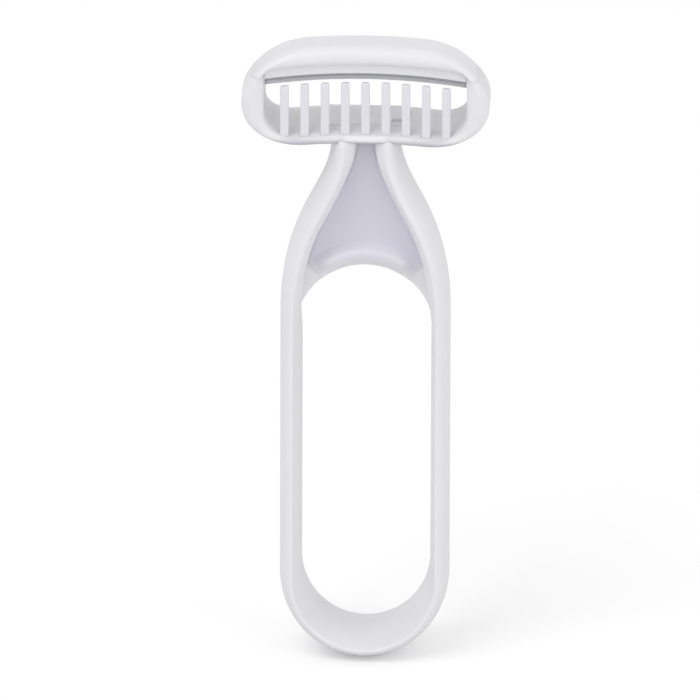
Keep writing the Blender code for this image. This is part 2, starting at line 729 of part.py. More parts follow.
def make_pins(parts, plastic):
    """The pins that hold the clamp and blade to the cap, with domed heads below."""
    under = -GAP - CLAMP_THICKNESS - GAP
    top = seat_gap() + PIN_HOLD
    profile = (
        (0.0, top),
        (PIN_RADIUS, top),
        (PIN_RADIUS, under),
        (PIN_HEAD_RADIUS, under),
        (PIN_HEAD_RADIUS, under - PIN_HEAD_HEIGHT / 2),
        (PIN_HEAD_RADIUS * 0.7, under - PIN_HEAD_HEIGHT * 0.9),
        (0.0, under - PIN_HEAD_HEIGHT),
    )
    pins = []
    for word, x in pin_places():
        pin = pin_turned(f"clamp_pin_{word}", profile, x, parts)
        pin.data.materials.append(plastic)
        pins.append(pin)
    return pins


def build():
    clear_scene()
    parts = new_collection("body_razor")
    helpers = new_collection("cutters")
    handle_plastic = new_material("handle_plastic", (0.80, 0.79, 0.83), 0.35)
    panel_plastic = new_material("panel_plastic", (0.76, 0.75, 0.80), 0.40)
    head_plastic = new_material("head_plastic", (0.82, 0.82, 0.85), 0.32)
    comb_plastic = new_material("comb_plastic", (0.80, 0.79, 0.84), 0.35)
    steel = new_material("blade_steel", (0.62, 0.62, 0.65), 0.25, 1.0)

    path = make_handle(parts, helpers, handle_plastic)
    make_panel(path, parts, helpers, panel_plastic)
    make_head_frame(parts, helpers, head_plastic)
    make_comb(parts, helpers, comb_plastic)

    slide = bpy.data.objects.new("cap_slide", None)
    slide.location = at_depth(0.0, HEAD_BOW + HEAD_TOP_DEPTH / 2, PARTING_HEIGHT)
    parts.objects.link(slide)
    moving = [make_cap(parts, helpers, head_plastic)]
    moving.append(make_blade(parts, helpers, steel))
    moving.append(make_clamp(parts, helpers, head_plastic))
    moving += make_pins(parts, head_plastic)
    bpy.context.view_layer.update()
    for piece in moving:
        piece.parent = slide
        piece.matrix_parent_inverse = slide.matrix_world.inverted()


build()
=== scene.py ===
"""Looks of a white body razor: loop handle, neck panel, comb, strip blade and pull-off cap.

Units are metres. +Z runs up the handle and the comb faces -Y. A depth is measured from the front
plane backwards.
"""

from __future__ import annotations

import logging
import math
from collections.abc import Callable, Sequence
from dataclasses import dataclass
from enum import Enum

import bmesh
import bpy
from bpy.types import Material, NodeSocket, NodeTree, Object, Scene
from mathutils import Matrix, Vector

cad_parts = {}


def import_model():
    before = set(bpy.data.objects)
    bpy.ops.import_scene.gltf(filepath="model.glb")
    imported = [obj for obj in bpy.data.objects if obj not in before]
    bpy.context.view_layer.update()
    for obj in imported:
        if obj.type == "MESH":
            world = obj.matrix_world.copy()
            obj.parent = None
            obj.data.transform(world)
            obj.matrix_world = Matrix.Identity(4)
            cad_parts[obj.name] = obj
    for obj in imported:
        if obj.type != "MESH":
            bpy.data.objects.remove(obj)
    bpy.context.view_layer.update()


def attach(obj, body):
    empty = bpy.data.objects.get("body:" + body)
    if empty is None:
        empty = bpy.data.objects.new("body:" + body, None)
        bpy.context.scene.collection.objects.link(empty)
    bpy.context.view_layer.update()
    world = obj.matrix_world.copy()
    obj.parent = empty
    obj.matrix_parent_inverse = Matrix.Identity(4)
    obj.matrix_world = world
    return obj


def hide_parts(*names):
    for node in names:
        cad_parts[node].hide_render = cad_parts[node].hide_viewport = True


LOG = logging.getLogger("body_razor")

# Half of the handle's depth, and the distance within which two points are one.
HALF_DEPTH = 0.008
CLOSE = 1e-7

# Angles from which an edge stays sharp.
CREASE = math.radians(40)
HEAD_CREASE = math.radians(25)
BLADE_CREASE = math.radians(4)

# Numbers of the Mix node's sockets for colours, and the middle value of a noise.
MIX_LOW, MIX_HIGH, MIX_RESULT = 6, 7, 2
NOISE_MIDDLE = 0.5

Colour = tuple[float, float, float]
Flat = tuple[float, float]


class Slot(Enum):
    """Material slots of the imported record."""

    HANDLE = "handle_plastic"
    PANEL = "panel_plastic"
    HEAD = "head_plastic"
    COMB = "comb_plastic"
    CLAMP = "clamp_plastic"
    BLADE = "blade_steel"


class Body(Enum):
    """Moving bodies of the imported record."""

    HANDLE = "handle"
    CAP = "cap"


class Wave:
    """A node socket that takes part in arithmetic."""

    def __init__(self, sheet: Sheet, socket: NodeSocket) -> None:
        """Wraps one output socket of a sheet."""
        self.sheet = sheet
        self.socket = socket

    def _math(self, operation: str, first: Value, second: Value) -> Wave:
        """The result of a Math node on two values."""
        return self.sheet.add("ShaderNodeMath", {"operation": operation}, {0: first, 1: second})

    def __add__(self, other: Value) -> Wave:
        """This plus another."""
        return self._math("ADD", self, other)

    def __radd__(self, other: Value) -> Wave:
        """Another plus this."""
        return self._math("ADD", other, self)

    def __sub__(self, other: Value) -> Wave:
        """This less another."""
        return self._math("SUBTRACT", self, other)

    def __rsub__(self, other: Value) -> Wave:
        """Another less this."""
        return self._math("SUBTRACT", other, self)

    def __mul__(self, other: Value) -> Wave:
        """This times another."""
        return self._math("MULTIPLY", self, other)

    def __rmul__(self, other: Value) -> Wave:
        """Another times this."""
        return self._math("MULTIPLY", other, self)

    def __truediv__(self, other: Value) -> Wave:
        """This over another."""
        return self._math("DIVIDE", self, other)

    def __rtruediv__(self, other: Value) -> Wave:
        """Another over this."""
        return self._math("DIVIDE", other, self)


Value = Wave | float | tuple[float, ...]


class Sheet:
    """A node tree, with one method for every node."""

    def __init__(self, tree: NodeTree) -> None:
        """Takes over a tree and empties it."""
        self.tree = tree
        self.tree.nodes.clear()

    def add(
        self,
        kind: str,
        settings: dict[str, object] | None = None,
        values: dict[int | str, Value] | None = None,
        output: int | str = 0,
    ) -> Wave:
        """Adds a node, with its settings first.

        Args:
            kind: the node's type.
            settings: its properties by name.
            values: values or links by socket name or number.
            output: which output to return.

        Returns:
            The chosen output.
        """
        node = self.tree.nodes.new(kind)
        for name, setting in (settings or {}).items():
            setattr(node, name, setting)
        for name, value in (values or {}).items():
            socket = node.inputs[name]
            if isinstance(value, Wave):
                self.tree.links.new(value.socket, socket)
            else:
                socket.default_value = value
        return Wave(self, node.outputs[output])

    def end(self, kind: str, name: int | str, value: Wave) -> None:
        """Adds an output node, whose named socket takes the value."""
        node = self.tree.nodes.new(kind)
        self.tree.links.new(value.socket, node.inputs[name])


class FinishSheet(Sheet):
    """The node tree of a material."""

    def __init__(self, name: str) -> None:
        """Makes a material with an empty tree.

        Args:
            name: the material's name.
        """
        self.material = bpy.data.materials.new(name)
        self.material.use_nodes = True
        super().__init__(self.material.node_tree)

    def place(self) -> Wave:
        """Where a point lies on the object, in metres."""
        return self.add("ShaderNodeTexCoord", output="Object")

    def rise(self, low: float, high: float) -> Wave:
        """Height on the object, from 0 at the low end to 1 at the high end."""
        height = self.add("ShaderNodeSeparateXYZ", values={"Vector": self.place()}, output="Z")
        span = {"Value": height, "From Min": low, "From Max": high}
        return self.add("ShaderNodeMapRange", {"interpolation_type": "SMOOTHSTEP"}, span)

    def noise(
        self, scale: float, detail: float, roughness: float = 0.5, place: Wave | None = None
    ) -> Wave:
        """Noise over the object.

        Args:
            scale: how many cells fit in a metre.
            detail: how many finer layers it has.
            roughness: how strong the finer layers are.
            place: the coordinates to use in place of the object's own.

        Returns:
            A value about 0.5.
        """
        values = {"Vector": place or self.place(), "Scale": scale}
        values.update({"Detail": detail, "Roughness": roughness})
        return self.add("ShaderNodeTexNoise", {"noise_dimensions": "3D"}, values)

    def tint(self, share: Value, low: Colour | Wave, high: Colour | Wave) -> Wave:
        """A colour between two, by a share.

        Args:
            share: 0 gives the first colour, 1 the second.
            low: the first colour.
            high: the second colour.

        Returns:
            The mixed colour.
        """
        values = {0: share}
        for socket, end in ((MIX_LOW, low), (MIX_HIGH, high)):
            values[socket] = end if isinstance(end, Wave) else (*end, 1.0)
        return self.add("ShaderNodeMix", {"data_type": "RGBA"}, values, output=MIX_RESULT)

    def close(self, surface: Wave) -> Material:
        """Ends the tree with its surface and gives the material."""
        self.end("ShaderNodeOutputMaterial", "Surface", surface)
        return self.material


@dataclass(frozen=True)
class MouldedPlastic:
    """White injection-moulded plastic, with faint flow marks and a fine grain in its gloss. It can
    also carry a painted highlight mark and a painted shade towards its foot.
    """

    name: str
    base: Colour
    shade: Colour
    roughness: float = 0.34
    roughness_spread: float = 0.10
    flow_scale: float = 55.0
    flow_detail: float = 3.0
    grain_scale: float = 2600.0
    grain_detail: float = 2.0
    grain_fineness: float = 0.6
    grain_spread: float = 0.04
    grain_height: float = 0.000006
    bump: float = 0.35
    flow_bump: float = 0.5
    refraction: float = 1.49
    coat: float = 0.12
    coat_roughness: float = 0.18
    scatter: float = 0.4
    scatter_reach: float = 0.0006
    paler: Colour | None = None
    painted_foot_shade: Colour | None = None
    painted_shade_span: tuple[float, float] = (0.1120, 0.1136)

    def make(self) -> Material:
        """Builds the material.

        Returns:
            The finished material.
        """
        sheet = FinishSheet(self.name)
        flow = sheet.noise(self.flow_scale, self.flow_detail)
        grain = sheet.noise(self.grain_scale, self.grain_detail, self.grain_fineness)
        colour = sheet.tint(flow, self.shade, self.base)
        # Painted light: the mark lifts the colour on the bead by the finger opening.
        if self.paler:
            mark = sheet.add("ShaderNodeAttribute", {"attribute_name": "paler"}, output="Fac")
            colour = sheet.tint(mark, colour, self.paler)
        # Painted shade: the colour darkens towards the bottom of the piece, below the top of the
        # span.
        if self.painted_foot_shade:
            colour = sheet.tint(sheet.rise(*self.painted_shade_span), self.painted_foot_shade, colour)
        gloss = self.roughness + (flow - NOISE_MIDDLE) * self.roughness_spread
        gloss += (grain - NOISE_MIDDLE) * self.grain_spread
        relief = {"Distance": self.grain_height, "Height": grain + flow * self.flow_bump}
        bump = sheet.add("ShaderNodeBump", values={"Strength": self.bump, **relief})
        surface = sheet.add(
            "ShaderNodeBsdfPrincipled",
            values={
                "Base Color": colour,
                "Roughness": gloss,
                "Normal": bump,
                "IOR": self.refraction,
                "Subsurface Weight": self.scatter,
                "Subsurface Radius": (1.0, 1.0, 1.0),
                "Subsurface Scale": self.scatter_reach,
                "Coat Weight": self.coat,
                "Coat Roughness": self.coat_roughness,
            },
        )
        return sheet.close(surface)


@dataclass(frozen=True)
class StripSteel:
    """Strip steel, with rolling lines along its length, and painted reflection across its width: a
    bright edge with a dark line above it.
    """

    name: str
    body: Colour = (0.70, 0.70, 0.73)
    ground: Colour = (0.98, 0.98, 0.99)
    painted_glint_share: float = 0.8
    noise_share: float = 0.1
    roughness: float = 0.30
    line_scale: float = 9000.0
    line_stretch: float = 0.02
    line_spread: float = 0.25
    line_height: float = 0.000004
    blotch_scale: float = 160.0
    blotch_spread: float = 0.1
    detail: float = 2.0
    bump: float = 0.3

    def make(self) -> Material:
        """Builds the material.

        Returns:
            The finished material.
        """
        sheet = FinishSheet(self.name)
        drawn = sheet.add(
            "ShaderNodeMapping",
            values={"Vector": sheet.place(), "Scale": (self.line_stretch, 1.0, 1.0)},
        )
        lines = sheet.noise(self.line_scale, self.detail, place=drawn)
        blotch = sheet.noise(self.blotch_scale, self.detail)
        # The blade's mark mixes in painted reflection: a bright edge, a dark line above it and a
        # lighter body.
        ground = sheet.add("ShaderNodeAttribute", {"attribute_name": "ground"}, output="Fac")
        share = ground * self.painted_glint_share + lines * self.noise_share + blotch * self.noise_share
        colour = sheet.tint(share, self.body, self.ground)
        gloss = self.roughness + (lines - NOISE_MIDDLE) * self.line_spread
        gloss += (blotch - NOISE_MIDDLE) * self.blotch_spread
        relief = {"Distance": self.line_height, "Height": lines}
        bump = sheet.add("ShaderNodeBump", values={"Strength": self.bump, **relief})
        surface = sheet.add(
            "ShaderNodeBsdfPrincipled",
            values={"Base Color": colour, "Roughness": gloss, "Metallic": 1.0, "Normal": bump},
        )
        return sheet.close(surface)


Finish = MouldedPlastic | StripSteel

FINISHES: dict[Slot, Finish] = {
    Slot.HANDLE: MouldedPlastic("handle_white", (0.835, 0.825, 0.855), (0.81, 0.80, 0.84)),
    # The panel's darker, bluer colours are partly its own tint and partly painted shade of its
    # recess.
    Slot.PANEL: MouldedPlastic(
        "panel_white",
        (0.71, 0.70, 0.78),
        (0.69, 0.68, 0.76),
        roughness=0.42,
        # Painted light on the bead by the finger opening.
        paler=(0.82, 0.81, 0.85),
    ),
    # The head's colour carries a painted shade along its lower edge, under the head.
    Slot.HEAD: MouldedPlastic(
        "head_white", (0.83, 0.83, 0.85), (0.81, 0.81, 0.83), painted_foot_shade=(0.54, 0.53, 0.58)
    ),
    Slot.COMB: MouldedPlastic(
        "comb_white", (0.80, 0.79, 0.83), (0.77, 0.76, 0.81), roughness=0.36
    ),
    Slot.CLAMP: MouldedPlastic(
        "clamp_white", (0.76, 0.76, 0.79), (0.72, 0.72, 0.76), roughness=0.5
    ),
    Slot.BLADE: StripSteel("strip_steel"),
}


@dataclass
class Studio:
    """The floor, the lights and the camera."""

    azimuth: float = math.radians(2.2)
    elevation: float = math.radians(22.5)
    roll: float = math.radians(0.2)
    lens: float = 1200.0
    sensor: float = 36.0
    width_seen: float = 0.140
    aim: tuple[float, float, float] = (-0.0028, -0.008, 0.0682)
    clip_end: float = 40.0
    floor_half: float = 4.0
    floor_lift: float = 0.29
    paper: Colour = (0.74, 0.74, 0.74)
    pale_paper: Colour = (0.76, 0.76, 0.76)
    paper_roughness: float = 0.9
    paper_scale: float = 30.0
    paper_detail: float = 4.0
    horizon_strength: float = 1.18
    zenith_fall: float = 0.46
    mirror_strength: float = 0.70
    key_power: float = 12.0
    key_place: tuple[float, float, float] = (-0.8, -0.9, 1.9)
    fill_power: float = 4.0
    fill_place: tuple[float, float, float] = (1.3, -0.9, 0.6)
    lamp_size: float = 1.2

    def build(self) -> None:
        """Makes the floor, the world, the lamps and the camera."""
        scene = bpy.context.scene
        scene.view_settings.view_transform = "Standard"
        self.make_floor()
        self.make_world(scene)
        self.make_lamp("key_softbox", self.key_place, self.key_power)
        self.make_lamp("fill_softbox", self.fill_place, self.fill_power)
        self.make_camera(scene)

    def make_floor(self) -> None:
        """The pale floor, which the camera sees near white."""
        bpy.ops.mesh.primitive_plane_add(size=2 * self.floor_half)
        floor = bpy.context.object
        floor.name = "studio_floor"
        sheet = FinishSheet("floor_paper")
        fibres = sheet.noise(self.paper_scale, self.paper_detail)
        seen = sheet.add("ShaderNodeLightPath", output="Is Camera Ray")
        values = {"Base Color": sheet.tint(fibres, self.paper, self.pale_paper)}
        values["Roughness"] = self.paper_roughness
        matt = sheet.add("ShaderNodeBsdfPrincipled", values=values)
        glow = sheet.add("ShaderNodeEmission", values={"Strength": seen * self.floor_lift})
        lit = sheet.add("ShaderNodeAddShader", values={0: matt, 1: glow})
        floor.data.materials.append(sheet.close(lit))

    def make_world(self, scene: Scene) -> None:
        """A plain world that lights evenly and is white behind the object.

        Args:
            scene: the scene it belongs to.
        """
        world = bpy.data.worlds.new("studio_world")
        scene.world = world
        world.use_nodes = True
        sheet = Sheet(world.node_tree)
        direct = sheet.add("ShaderNodeLightPath", output="Is Camera Ray")
        mirrored = sheet.add("ShaderNodeLightPath", output="Is Glossy Ray")
        towards = sheet.add("ShaderNodeTexCoord")
        height = sheet.add("ShaderNodeSeparateXYZ", values={"Vector": towards}, output="Z")
        soft = self.horizon_strength - height * height * self.zenith_fall
        strength = direct * (1.0 - soft) + mirrored * (self.mirror_strength - soft) + soft
        shown = sheet.add("ShaderNodeBackground", values={"Strength": strength})
        sheet.end("ShaderNodeOutputWorld", "Surface", shown)

    def make_lamp(self, name: str, place: tuple[float, float, float], power: float) -> None:
        """A square soft lamp that faces the object.

        Args:
            name: the lamp's name.
            place: where it stands.
            power: its power in watts.
        """
        light = bpy.data.lights.new(name, "AREA")
        light.energy = power
        light.size = self.lamp_size
        lamp = bpy.data.objects.new(name, light)
        lamp.location = place
        towards = Vector(self.aim) - Vector(place)
        lamp.rotation_euler = towards.to_track_quat("-Z", "Y").to_euler()
        bpy.context.scene.collection.objects.link(lamp)

    def make_camera(self, scene: Scene) -> None:
        """A long-lens camera at the photograph's angle.

        Args:
            scene: the scene it belongs to.
        """
        data = bpy.data.cameras.new("photo_camera")
        data.lens = self.lens
        data.sensor_width = self.sensor
        data.clip_end = self.clip_end
        camera = bpy.data.objects.new("photo_camera", data)
        level = math.cos(self.elevation)
        across, towards = math.sin(self.azimuth) * level, math.cos(self.azimuth) * level
        away = Vector((across, -towards, math.sin(self.elevation)))
        distance = self.width_seen * self.lens / self.sensor
        camera.location = Vector(self.aim) + away * distance
        turn = (-away).to_track_quat("-Z", "Y").to_matrix().to_4x4()
        spin = turn.Rotation(self.roll, 4, "Z")
        camera.rotation_euler = (turn @ spin).to_euler()
        scene.collection.objects.link(camera)
        scene.camera = camera


def at_depth(x: float, depth: float, z: float) -> Vector:
    """The point at a depth behind the handle's front plane."""
    return Vector((x, depth - HALF_DEPTH, z))


def ease(share: float) -> float:
    """A share from 0 to 1 with a soft start and end."""
    share = min(max(share, 0.0), 1.0)
    return share * share * (3 - 2 * share)


def mix(first: float, second: float, share: float) -> float:
    """A number between two."""
    return first + (second - first) * share


def spread(first: float, last: float, steps: int) -> list[float]:
    """Numbers in even steps from one to another, with both ends."""
    return [mix(first, last, step / steps) for step in range(steps + 1)]


def cubic(
    start: Vector, start_pull: Vector, end_pull: Vector, end: Vector, steps: int
) -> list[Vector]:
    """Points of a cubic curve after its start.

    Args:
        start: the first point.
        start_pull: the handle that it leaves towards.
        end_pull: the handle that it arrives from.
        end: the last point.
        steps: how many points to give.

    Returns:
        The points, the last one at the end.
    """
    points = []
    for t in spread(0.0, 1.0, steps)[1:]:
        near = start * (1 - t) ** 3 + start_pull * (3 * t * (1 - t) ** 2)
        points.append(near + end_pull * (3 * t**2 * (1 - t)) + end * t**3)
    return points


def soften(points: Sequence[Vector], radii: Sequence[float], steps: int) -> list[Vector]:
    """Rounds the corners of an open line.

    Args:
        points: the line's corners, with its two ends.
        radii: how far the rounding reaches at each corner between the ends.
        steps: segments in each rounding.

    Returns:
        The rounded line, always with the same count.
    """
    line = [points[0]]
    for before, corner, after, radius in zip(points, points[1:], points[2:], radii):
        back, ahead = before - corner, after - corner
        start = corner + back.normalized() * min(radius, back.length / 2)
        end = corner + ahead.normalized() * min(radius, ahead.length / 2)
        for t in spread(0.0, 1.0, steps):
            line.append(start * (1 - t) ** 2 + corner * (2 * t * (1 - t)) + end * t * t)
    line.append(points[-1])
    return line


def shape_from(bm: bmesh.types.BMesh, name: str) -> Object:
    """An object that holds the mesh.

    Args:
        bm: the mesh, which is freed.
        name: the object's name.

    Returns:
        The object, linked to the scene.
    """
    mesh = bpy.data.meshes.new(name)
    bm.to_mesh(mesh)
    bm.free()
    shape = bpy.data.objects.new(name, mesh)
    bpy.context.scene.collection.objects.link(shape)
    return shape


def loft(name: str, rings: Sequence[Sequence[Vector]], wrap: bool = False) -> Object:
    """A closed skin over rings of points, all with the same count.

    Args:
        name: the object's name.
        rings: the rings in order.
        wrap: whether the last ring meets the first, in place of two end caps.

    Returns:
        The object.
    """
    bm = bmesh.new()
    rows = [[bm.verts.new(point) for point in ring] for ring in rings]
    pairs = list(zip(rows, rows[1:]))
    if wrap:
        pairs.append((rows[-1], rows[0]))
    for first, second in pairs:
        for here in range(len(first)):
            after = (here + 1) % len(first)
            bm.faces.new((first[here], first[after], second[after], second[here]))
    if not wrap:
        bm.faces.new(rows[0])
        bm.faces.new(reversed(rows[-1]))
    bmesh.ops.remove_doubles(bm, verts=bm.verts, dist=CLOSE)
    bmesh.ops.recalc_face_normals(bm, faces=bm.faces)
    return shape_from(bm, name)


def prism(
    name: str, outline: Sequence[Flat], front: float, thickness: float
) -> Object:
    """A flat plate from its outline's (x, z) points and the depth of its front."""
    depths = (front, front + thickness)
    return loft(name, [[at_depth(x, depth, z) for x, z in outline] for depth in depths])


def block(
    name: str, low: tuple[float, float, float], high: tuple[float, float, float]
) -> Object:
    """A box between its lowest and its highest (x, depth, z) corner."""
    outline = ((low[0], low[2]), (high[0], low[2]), (high[0], high[2]), (low[0], high[2]))
    return prism(name, outline, low[1], high[1] - low[1])


def settle(shape: Object) -> None:
    """Makes a shape's modifiers part of its mesh.

    Args:
        shape: the object to settle.
    """
    bpy.context.view_layer.update()
    graph = bpy.context.evaluated_depsgraph_get()
    settled = bpy.data.meshes.new_from_object(shape.evaluated_get(graph))
    shape.modifiers.clear()
    shape.data = settled


def carve(shape: Object, tools: Sequence[Object]) -> None:
    """Cuts tools out of a shape and removes them.

    Args:
        shape: the object that stays.
        tools: the objects to use up.
    """
    for tool in tools:
        modifier = shape.modifiers.new(tool.name, "BOOLEAN")
        modifier.operation = "DIFFERENCE"
        modifier.solver = "EXACT"
        modifier.object = tool
    settle(shape)
    for tool in tools:
        bpy.data.objects.remove(tool, do_unlink=True)


def gather(name: str, shapes: Sequence[Object]) -> Object:
    """One object from the meshes of several.

    Args:
        name: the object's name.
        shapes: the objects to use up.

    Returns:
        The joined object.
    """
    bm = bmesh.new()
    for shape in shapes:
        bm.from_mesh(shape.data)
        bpy.data.objects.remove(shape, do_unlink=True)
    return shape_from(bm, name)


def paint(shape: Object, name: str, rule: Callable[[Vector], float]) -> None:
    """Writes a value at every point of a shape, for its finish to read.

    Args:
        shape: the object to paint.
        name: the attribute's name.
        rule: gives the value at a place.
    """
    marks = shape.data.attributes.new(name, "FLOAT", "POINT")
    for mark, vert in zip(marks.data, shape.data.vertices):
        mark.value = rule(vert.co)


def polish(shape: Object, crease: float = CREASE) -> None:
    """Smooth shading, with the edges that are steeper than a crease kept sharp."""
    shape.data.shade_smooth()
    shape.data.set_sharp_from_angle(angle=crease)


class ShapeSheet(Sheet):
    """A geometry tree that repeats or bends a piece."""

    def __init__(self, name: str, inputs: dict[str, str]) -> None:
        """Makes a tree with named inputs.

        Args:
            name: the tree's name.
            inputs: kind of each input's value by name.
        """
        super().__init__(bpy.data.node_groups.new(name, "GeometryNodeTree"))
        faces = self.tree.interface
        faces.new_socket("Geometry", in_out="INPUT", socket_type="NodeSocketGeometry")
        self.keys = {}
        for label, kind in inputs.items():
            socket = faces.new_socket(label, in_out="INPUT", socket_type="NodeSocket" + kind)
            self.keys[label] = socket.identifier
        faces.new_socket("Geometry", in_out="OUTPUT", socket_type="NodeSocketGeometry")
        self.start = self.tree.nodes.new("NodeGroupInput")

    def given(self, label: str) -> Wave:
        """The tree's input with a name."""
        return Wave(self, self.start.outputs[label])

    def join(self, first: Wave, second: Wave) -> Wave:
        """Both geometries in one."""
        whole = self.add("GeometryNodeJoinGeometry", values={"Geometry": first})
        self.tree.links.new(second.socket, whole.socket.node.inputs["Geometry"])
        return whole

    def finish(self, geometry: Wave) -> None:
        """Realises copies, sets the material and ends the tree.

        Args:
            geometry: what the tree made.
        """
        real = self.add("GeometryNodeRealizeInstances", values={"Geometry": geometry})
        values = {"Geometry": real, "Material": self.given("Finish")}
        dressed = self.add("GeometryNodeSetMaterial", values=values)
        self.end("NodeGroupOutput", 0, dressed)

    def run(self, shape: Object, values: dict[str, object]) -> None:
        """Runs the tree on an object and keeps the result as its mesh.

        Args:
            shape: the object to change.
            values: the tree's inputs by name.
        """
        modifier = shape.modifiers.new(self.tree.name, "NODES")
        modifier.node_group = self.tree
        for label, value in values.items():
            modifier[self.keys[label]] = value
        settle(shape)


def enrol(
    shape: Object,
    finishes: dict[Slot, Material],
    slot: Slot,
    body: Body,
    nodes: Sequence[str],
) -> None:
    """Gives a finished piece its material, its body and the nodes that it stands for.

    Args:
        shape: the piece.
        finishes: the finished materials.
        slot: the record's slot that it takes its finish from.
        body: the body that it moves with.
        nodes: the CAD nodes that it replaces.
    """
    shape.data.materials.clear()
    shape.data.materials.append(finishes[slot])
    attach(shape, body.value)
    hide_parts(*nodes)
    LOG.info("made %s with %d faces", shape.name, len(shape.data.polygons))


class Assembly:
    """A sub-assembly of one piece, with its slot, its body and the CAD nodes that it stands for."""

    slot: Slot
    body: Body = Body.HANDLE
    nodes: tuple[str, ...]

    def dress(self, shape: Object, finishes: dict[Slot, Material]) -> None:
        """Gives the piece its finish and its place in the model."""
        enrol(shape, finishes, self.slot, self.body, self.nodes)


@dataclass
class HandleMoulding(Assembly):
    """The handle: a crowned band round the finger opening, whose ends close in as flanks."""

    slot = Slot.HANDLE
    nodes = ("handle_frame",)

    depth: float = 0.016
    half_width: float = 0.01705
    end_height: float = 0.0177
    crown: float = 0.00246
    land: float = 0.00035
    back_thickness: float = 0.00416
    shoulder: float = 0.074
    shoulder_pull: float = 0.010
    waist_half_width: float = 0.01205
    waist_height: float = 0.0963
    waist_pull: float = 0.006
    waist_lean: float = math.radians(26.7)
    top_half_width: float = 0.0069
    top: float = 0.1114
    flank_thickness: float = 0.0045
    flank_gain: float = 0.0008
    flank_gain_start: float = 0.103
    flank_depth: float = 0.0055
    blend_start: float = 0.066
    blend_length: float = 0.016
    knee_inset: float = 0.00045
    knee_depth: float = 0.0017
    knee_round: float = 0.0005
    chin_setback: float = 0.0008
    chin_start: float = 0.1020
    chin_length: float = 0.010
    collar_height: float = 0.0019
    collar_back: float = 0.0048
    collar_lean: float = 0.0010
    collar_steps: int = 8
    lintel_inset: float = 0.0003
    lintel_rise: float = 0.0008
    lintel_round: float = 0.0006
    lintel_brow: float = 1 / 3
    lintel_chin: float = 1 / 4
    spring: float = 0.0689
    arch_half_width: float = 0.0143
    arch_height: float = 0.0156
    spoke_low: float = 0.066
    spoke_high: float = 0.0853
    spoke_angle: float = math.radians(53)
    lip_depth: float = 0.0044
    web_front: float = 0.0073
    web_back: float = 0.0102
    ridge_round: float = 0.0009
    lip_round: float = 0.0012
    edge_round: float = 0.0003
    joint: float = 0.00001
    web_sink: float = 0.001
    bridge_height: float = 0.0010
    bridge_inset: float = 0.0008
    stem_half_width: float = 0.0055
    stem_front: float = 0.0078
    stem_back: float = 0.0150
    tee_half_width: float = 0.0086
    tee_front: float = 0.0070
    tee_back: float = 0.0157
    tee_low: float = 0.1134
    tee_thickness: float = 0.0012
    notch_start: float = 0.0050
    notch_floor: float = 0.0003
    notch_width: float = 0.0021
    notch_inset: float = 0.0003
    notch_length: float = 0.0028
    tee_slope: float = 0.089
    end_steps: int = 40
    side_steps: int = 16
    neck_steps: int = 34
    crown_steps: int = 22
    round_steps: int = 4

    def path(self) -> list[Vector]:
        """The silhouette as (x, z) points, from the neck's top left round the loop to its right.

        Returns:
            The points.
        """
        right = []
        for angle in spread(0.0, math.pi / 2, self.end_steps):
            height = self.end_height * (1 - math.cos(angle))
            right.append(Vector((self.half_width * math.sin(angle), height)))
        shoulder = Vector((self.half_width, self.shoulder))
        start = right[-1]
        right += [start.lerp(shoulder, share) for share in spread(0.0, 1.0, self.side_steps)[1:]]
        waist = Vector((self.waist_half_width, self.waist_height))
        lean = Vector((-math.sin(self.waist_lean), math.cos(self.waist_lean)))
        top = Vector((self.top_half_width, self.top))
        up = Vector((0.0, 1.0))
        pull = self.waist_pull
        shoulder_pull = shoulder + up * self.shoulder_pull
        right += cubic(shoulder, shoulder_pull, waist - lean * pull, waist, self.neck_steps)
        right += cubic(waist, waist + lean * pull, top - up * pull, top, self.neck_steps)
        rises = spread(0.0, self.collar_height, self.collar_steps)[1:]
        right += [top + up * rise for rise in rises]
        return [Vector((-point.x, point.y)) for point in reversed(right[1:])] + right

    @staticmethod
    def inward(path: Sequence[Vector], index: int) -> Vector:
        """The unit direction from the silhouette into the handle."""
        if index in (0, len(path) - 1):
            return Vector((-math.copysign(1.0, path[index].x), 0.0))
        along = (path[index + 1] - path[index - 1]).normalized()
        return Vector((-along.y, along.x))

    def flank(self, height: float) -> float:
        """How thick the neck's flank is at a height."""
        return self.flank_thickness + self.flank_gain * ease(
            (height - self.flank_gain_start) / (self.top - self.flank_gain_start)
        )

    def flank_offset(self, depth: float, share: float, height: float) -> float:
        """How far in the inner face lies at a depth and height, by the share of neck in it."""
        in_loop = mix(self.crown + self.land, self.back_thickness, depth / self.depth)
        return mix(in_loop, self.flank(height), share)

    def edge_point(self, point: Vector, wall: Vector) -> Vector:
        """Where the finger opening's edge lies for a point of the silhouette.

        Args:
            point: the silhouette's point.
            wall: the point on the band's own inner wall.

        Returns:
            The wall's point, or below the panel the arch's point where that lies further in.
        """
        share = (point.y - self.spoke_low) / (self.spoke_high - self.spoke_low)
        if not 0.0 < share < 1.0:
            return wall
        angle = self.spoke_angle * share
        side = math.copysign(1.0, point.x)
        height = self.spring + self.arch_height * math.sin(angle)
        arch = Vector((side * self.arch_half_width * math.cos(angle), height))
        reach = ease((abs(wall.x) - abs(arch.x)) / self.lip_round + 0.5)
        return wall.lerp(arch, reach)

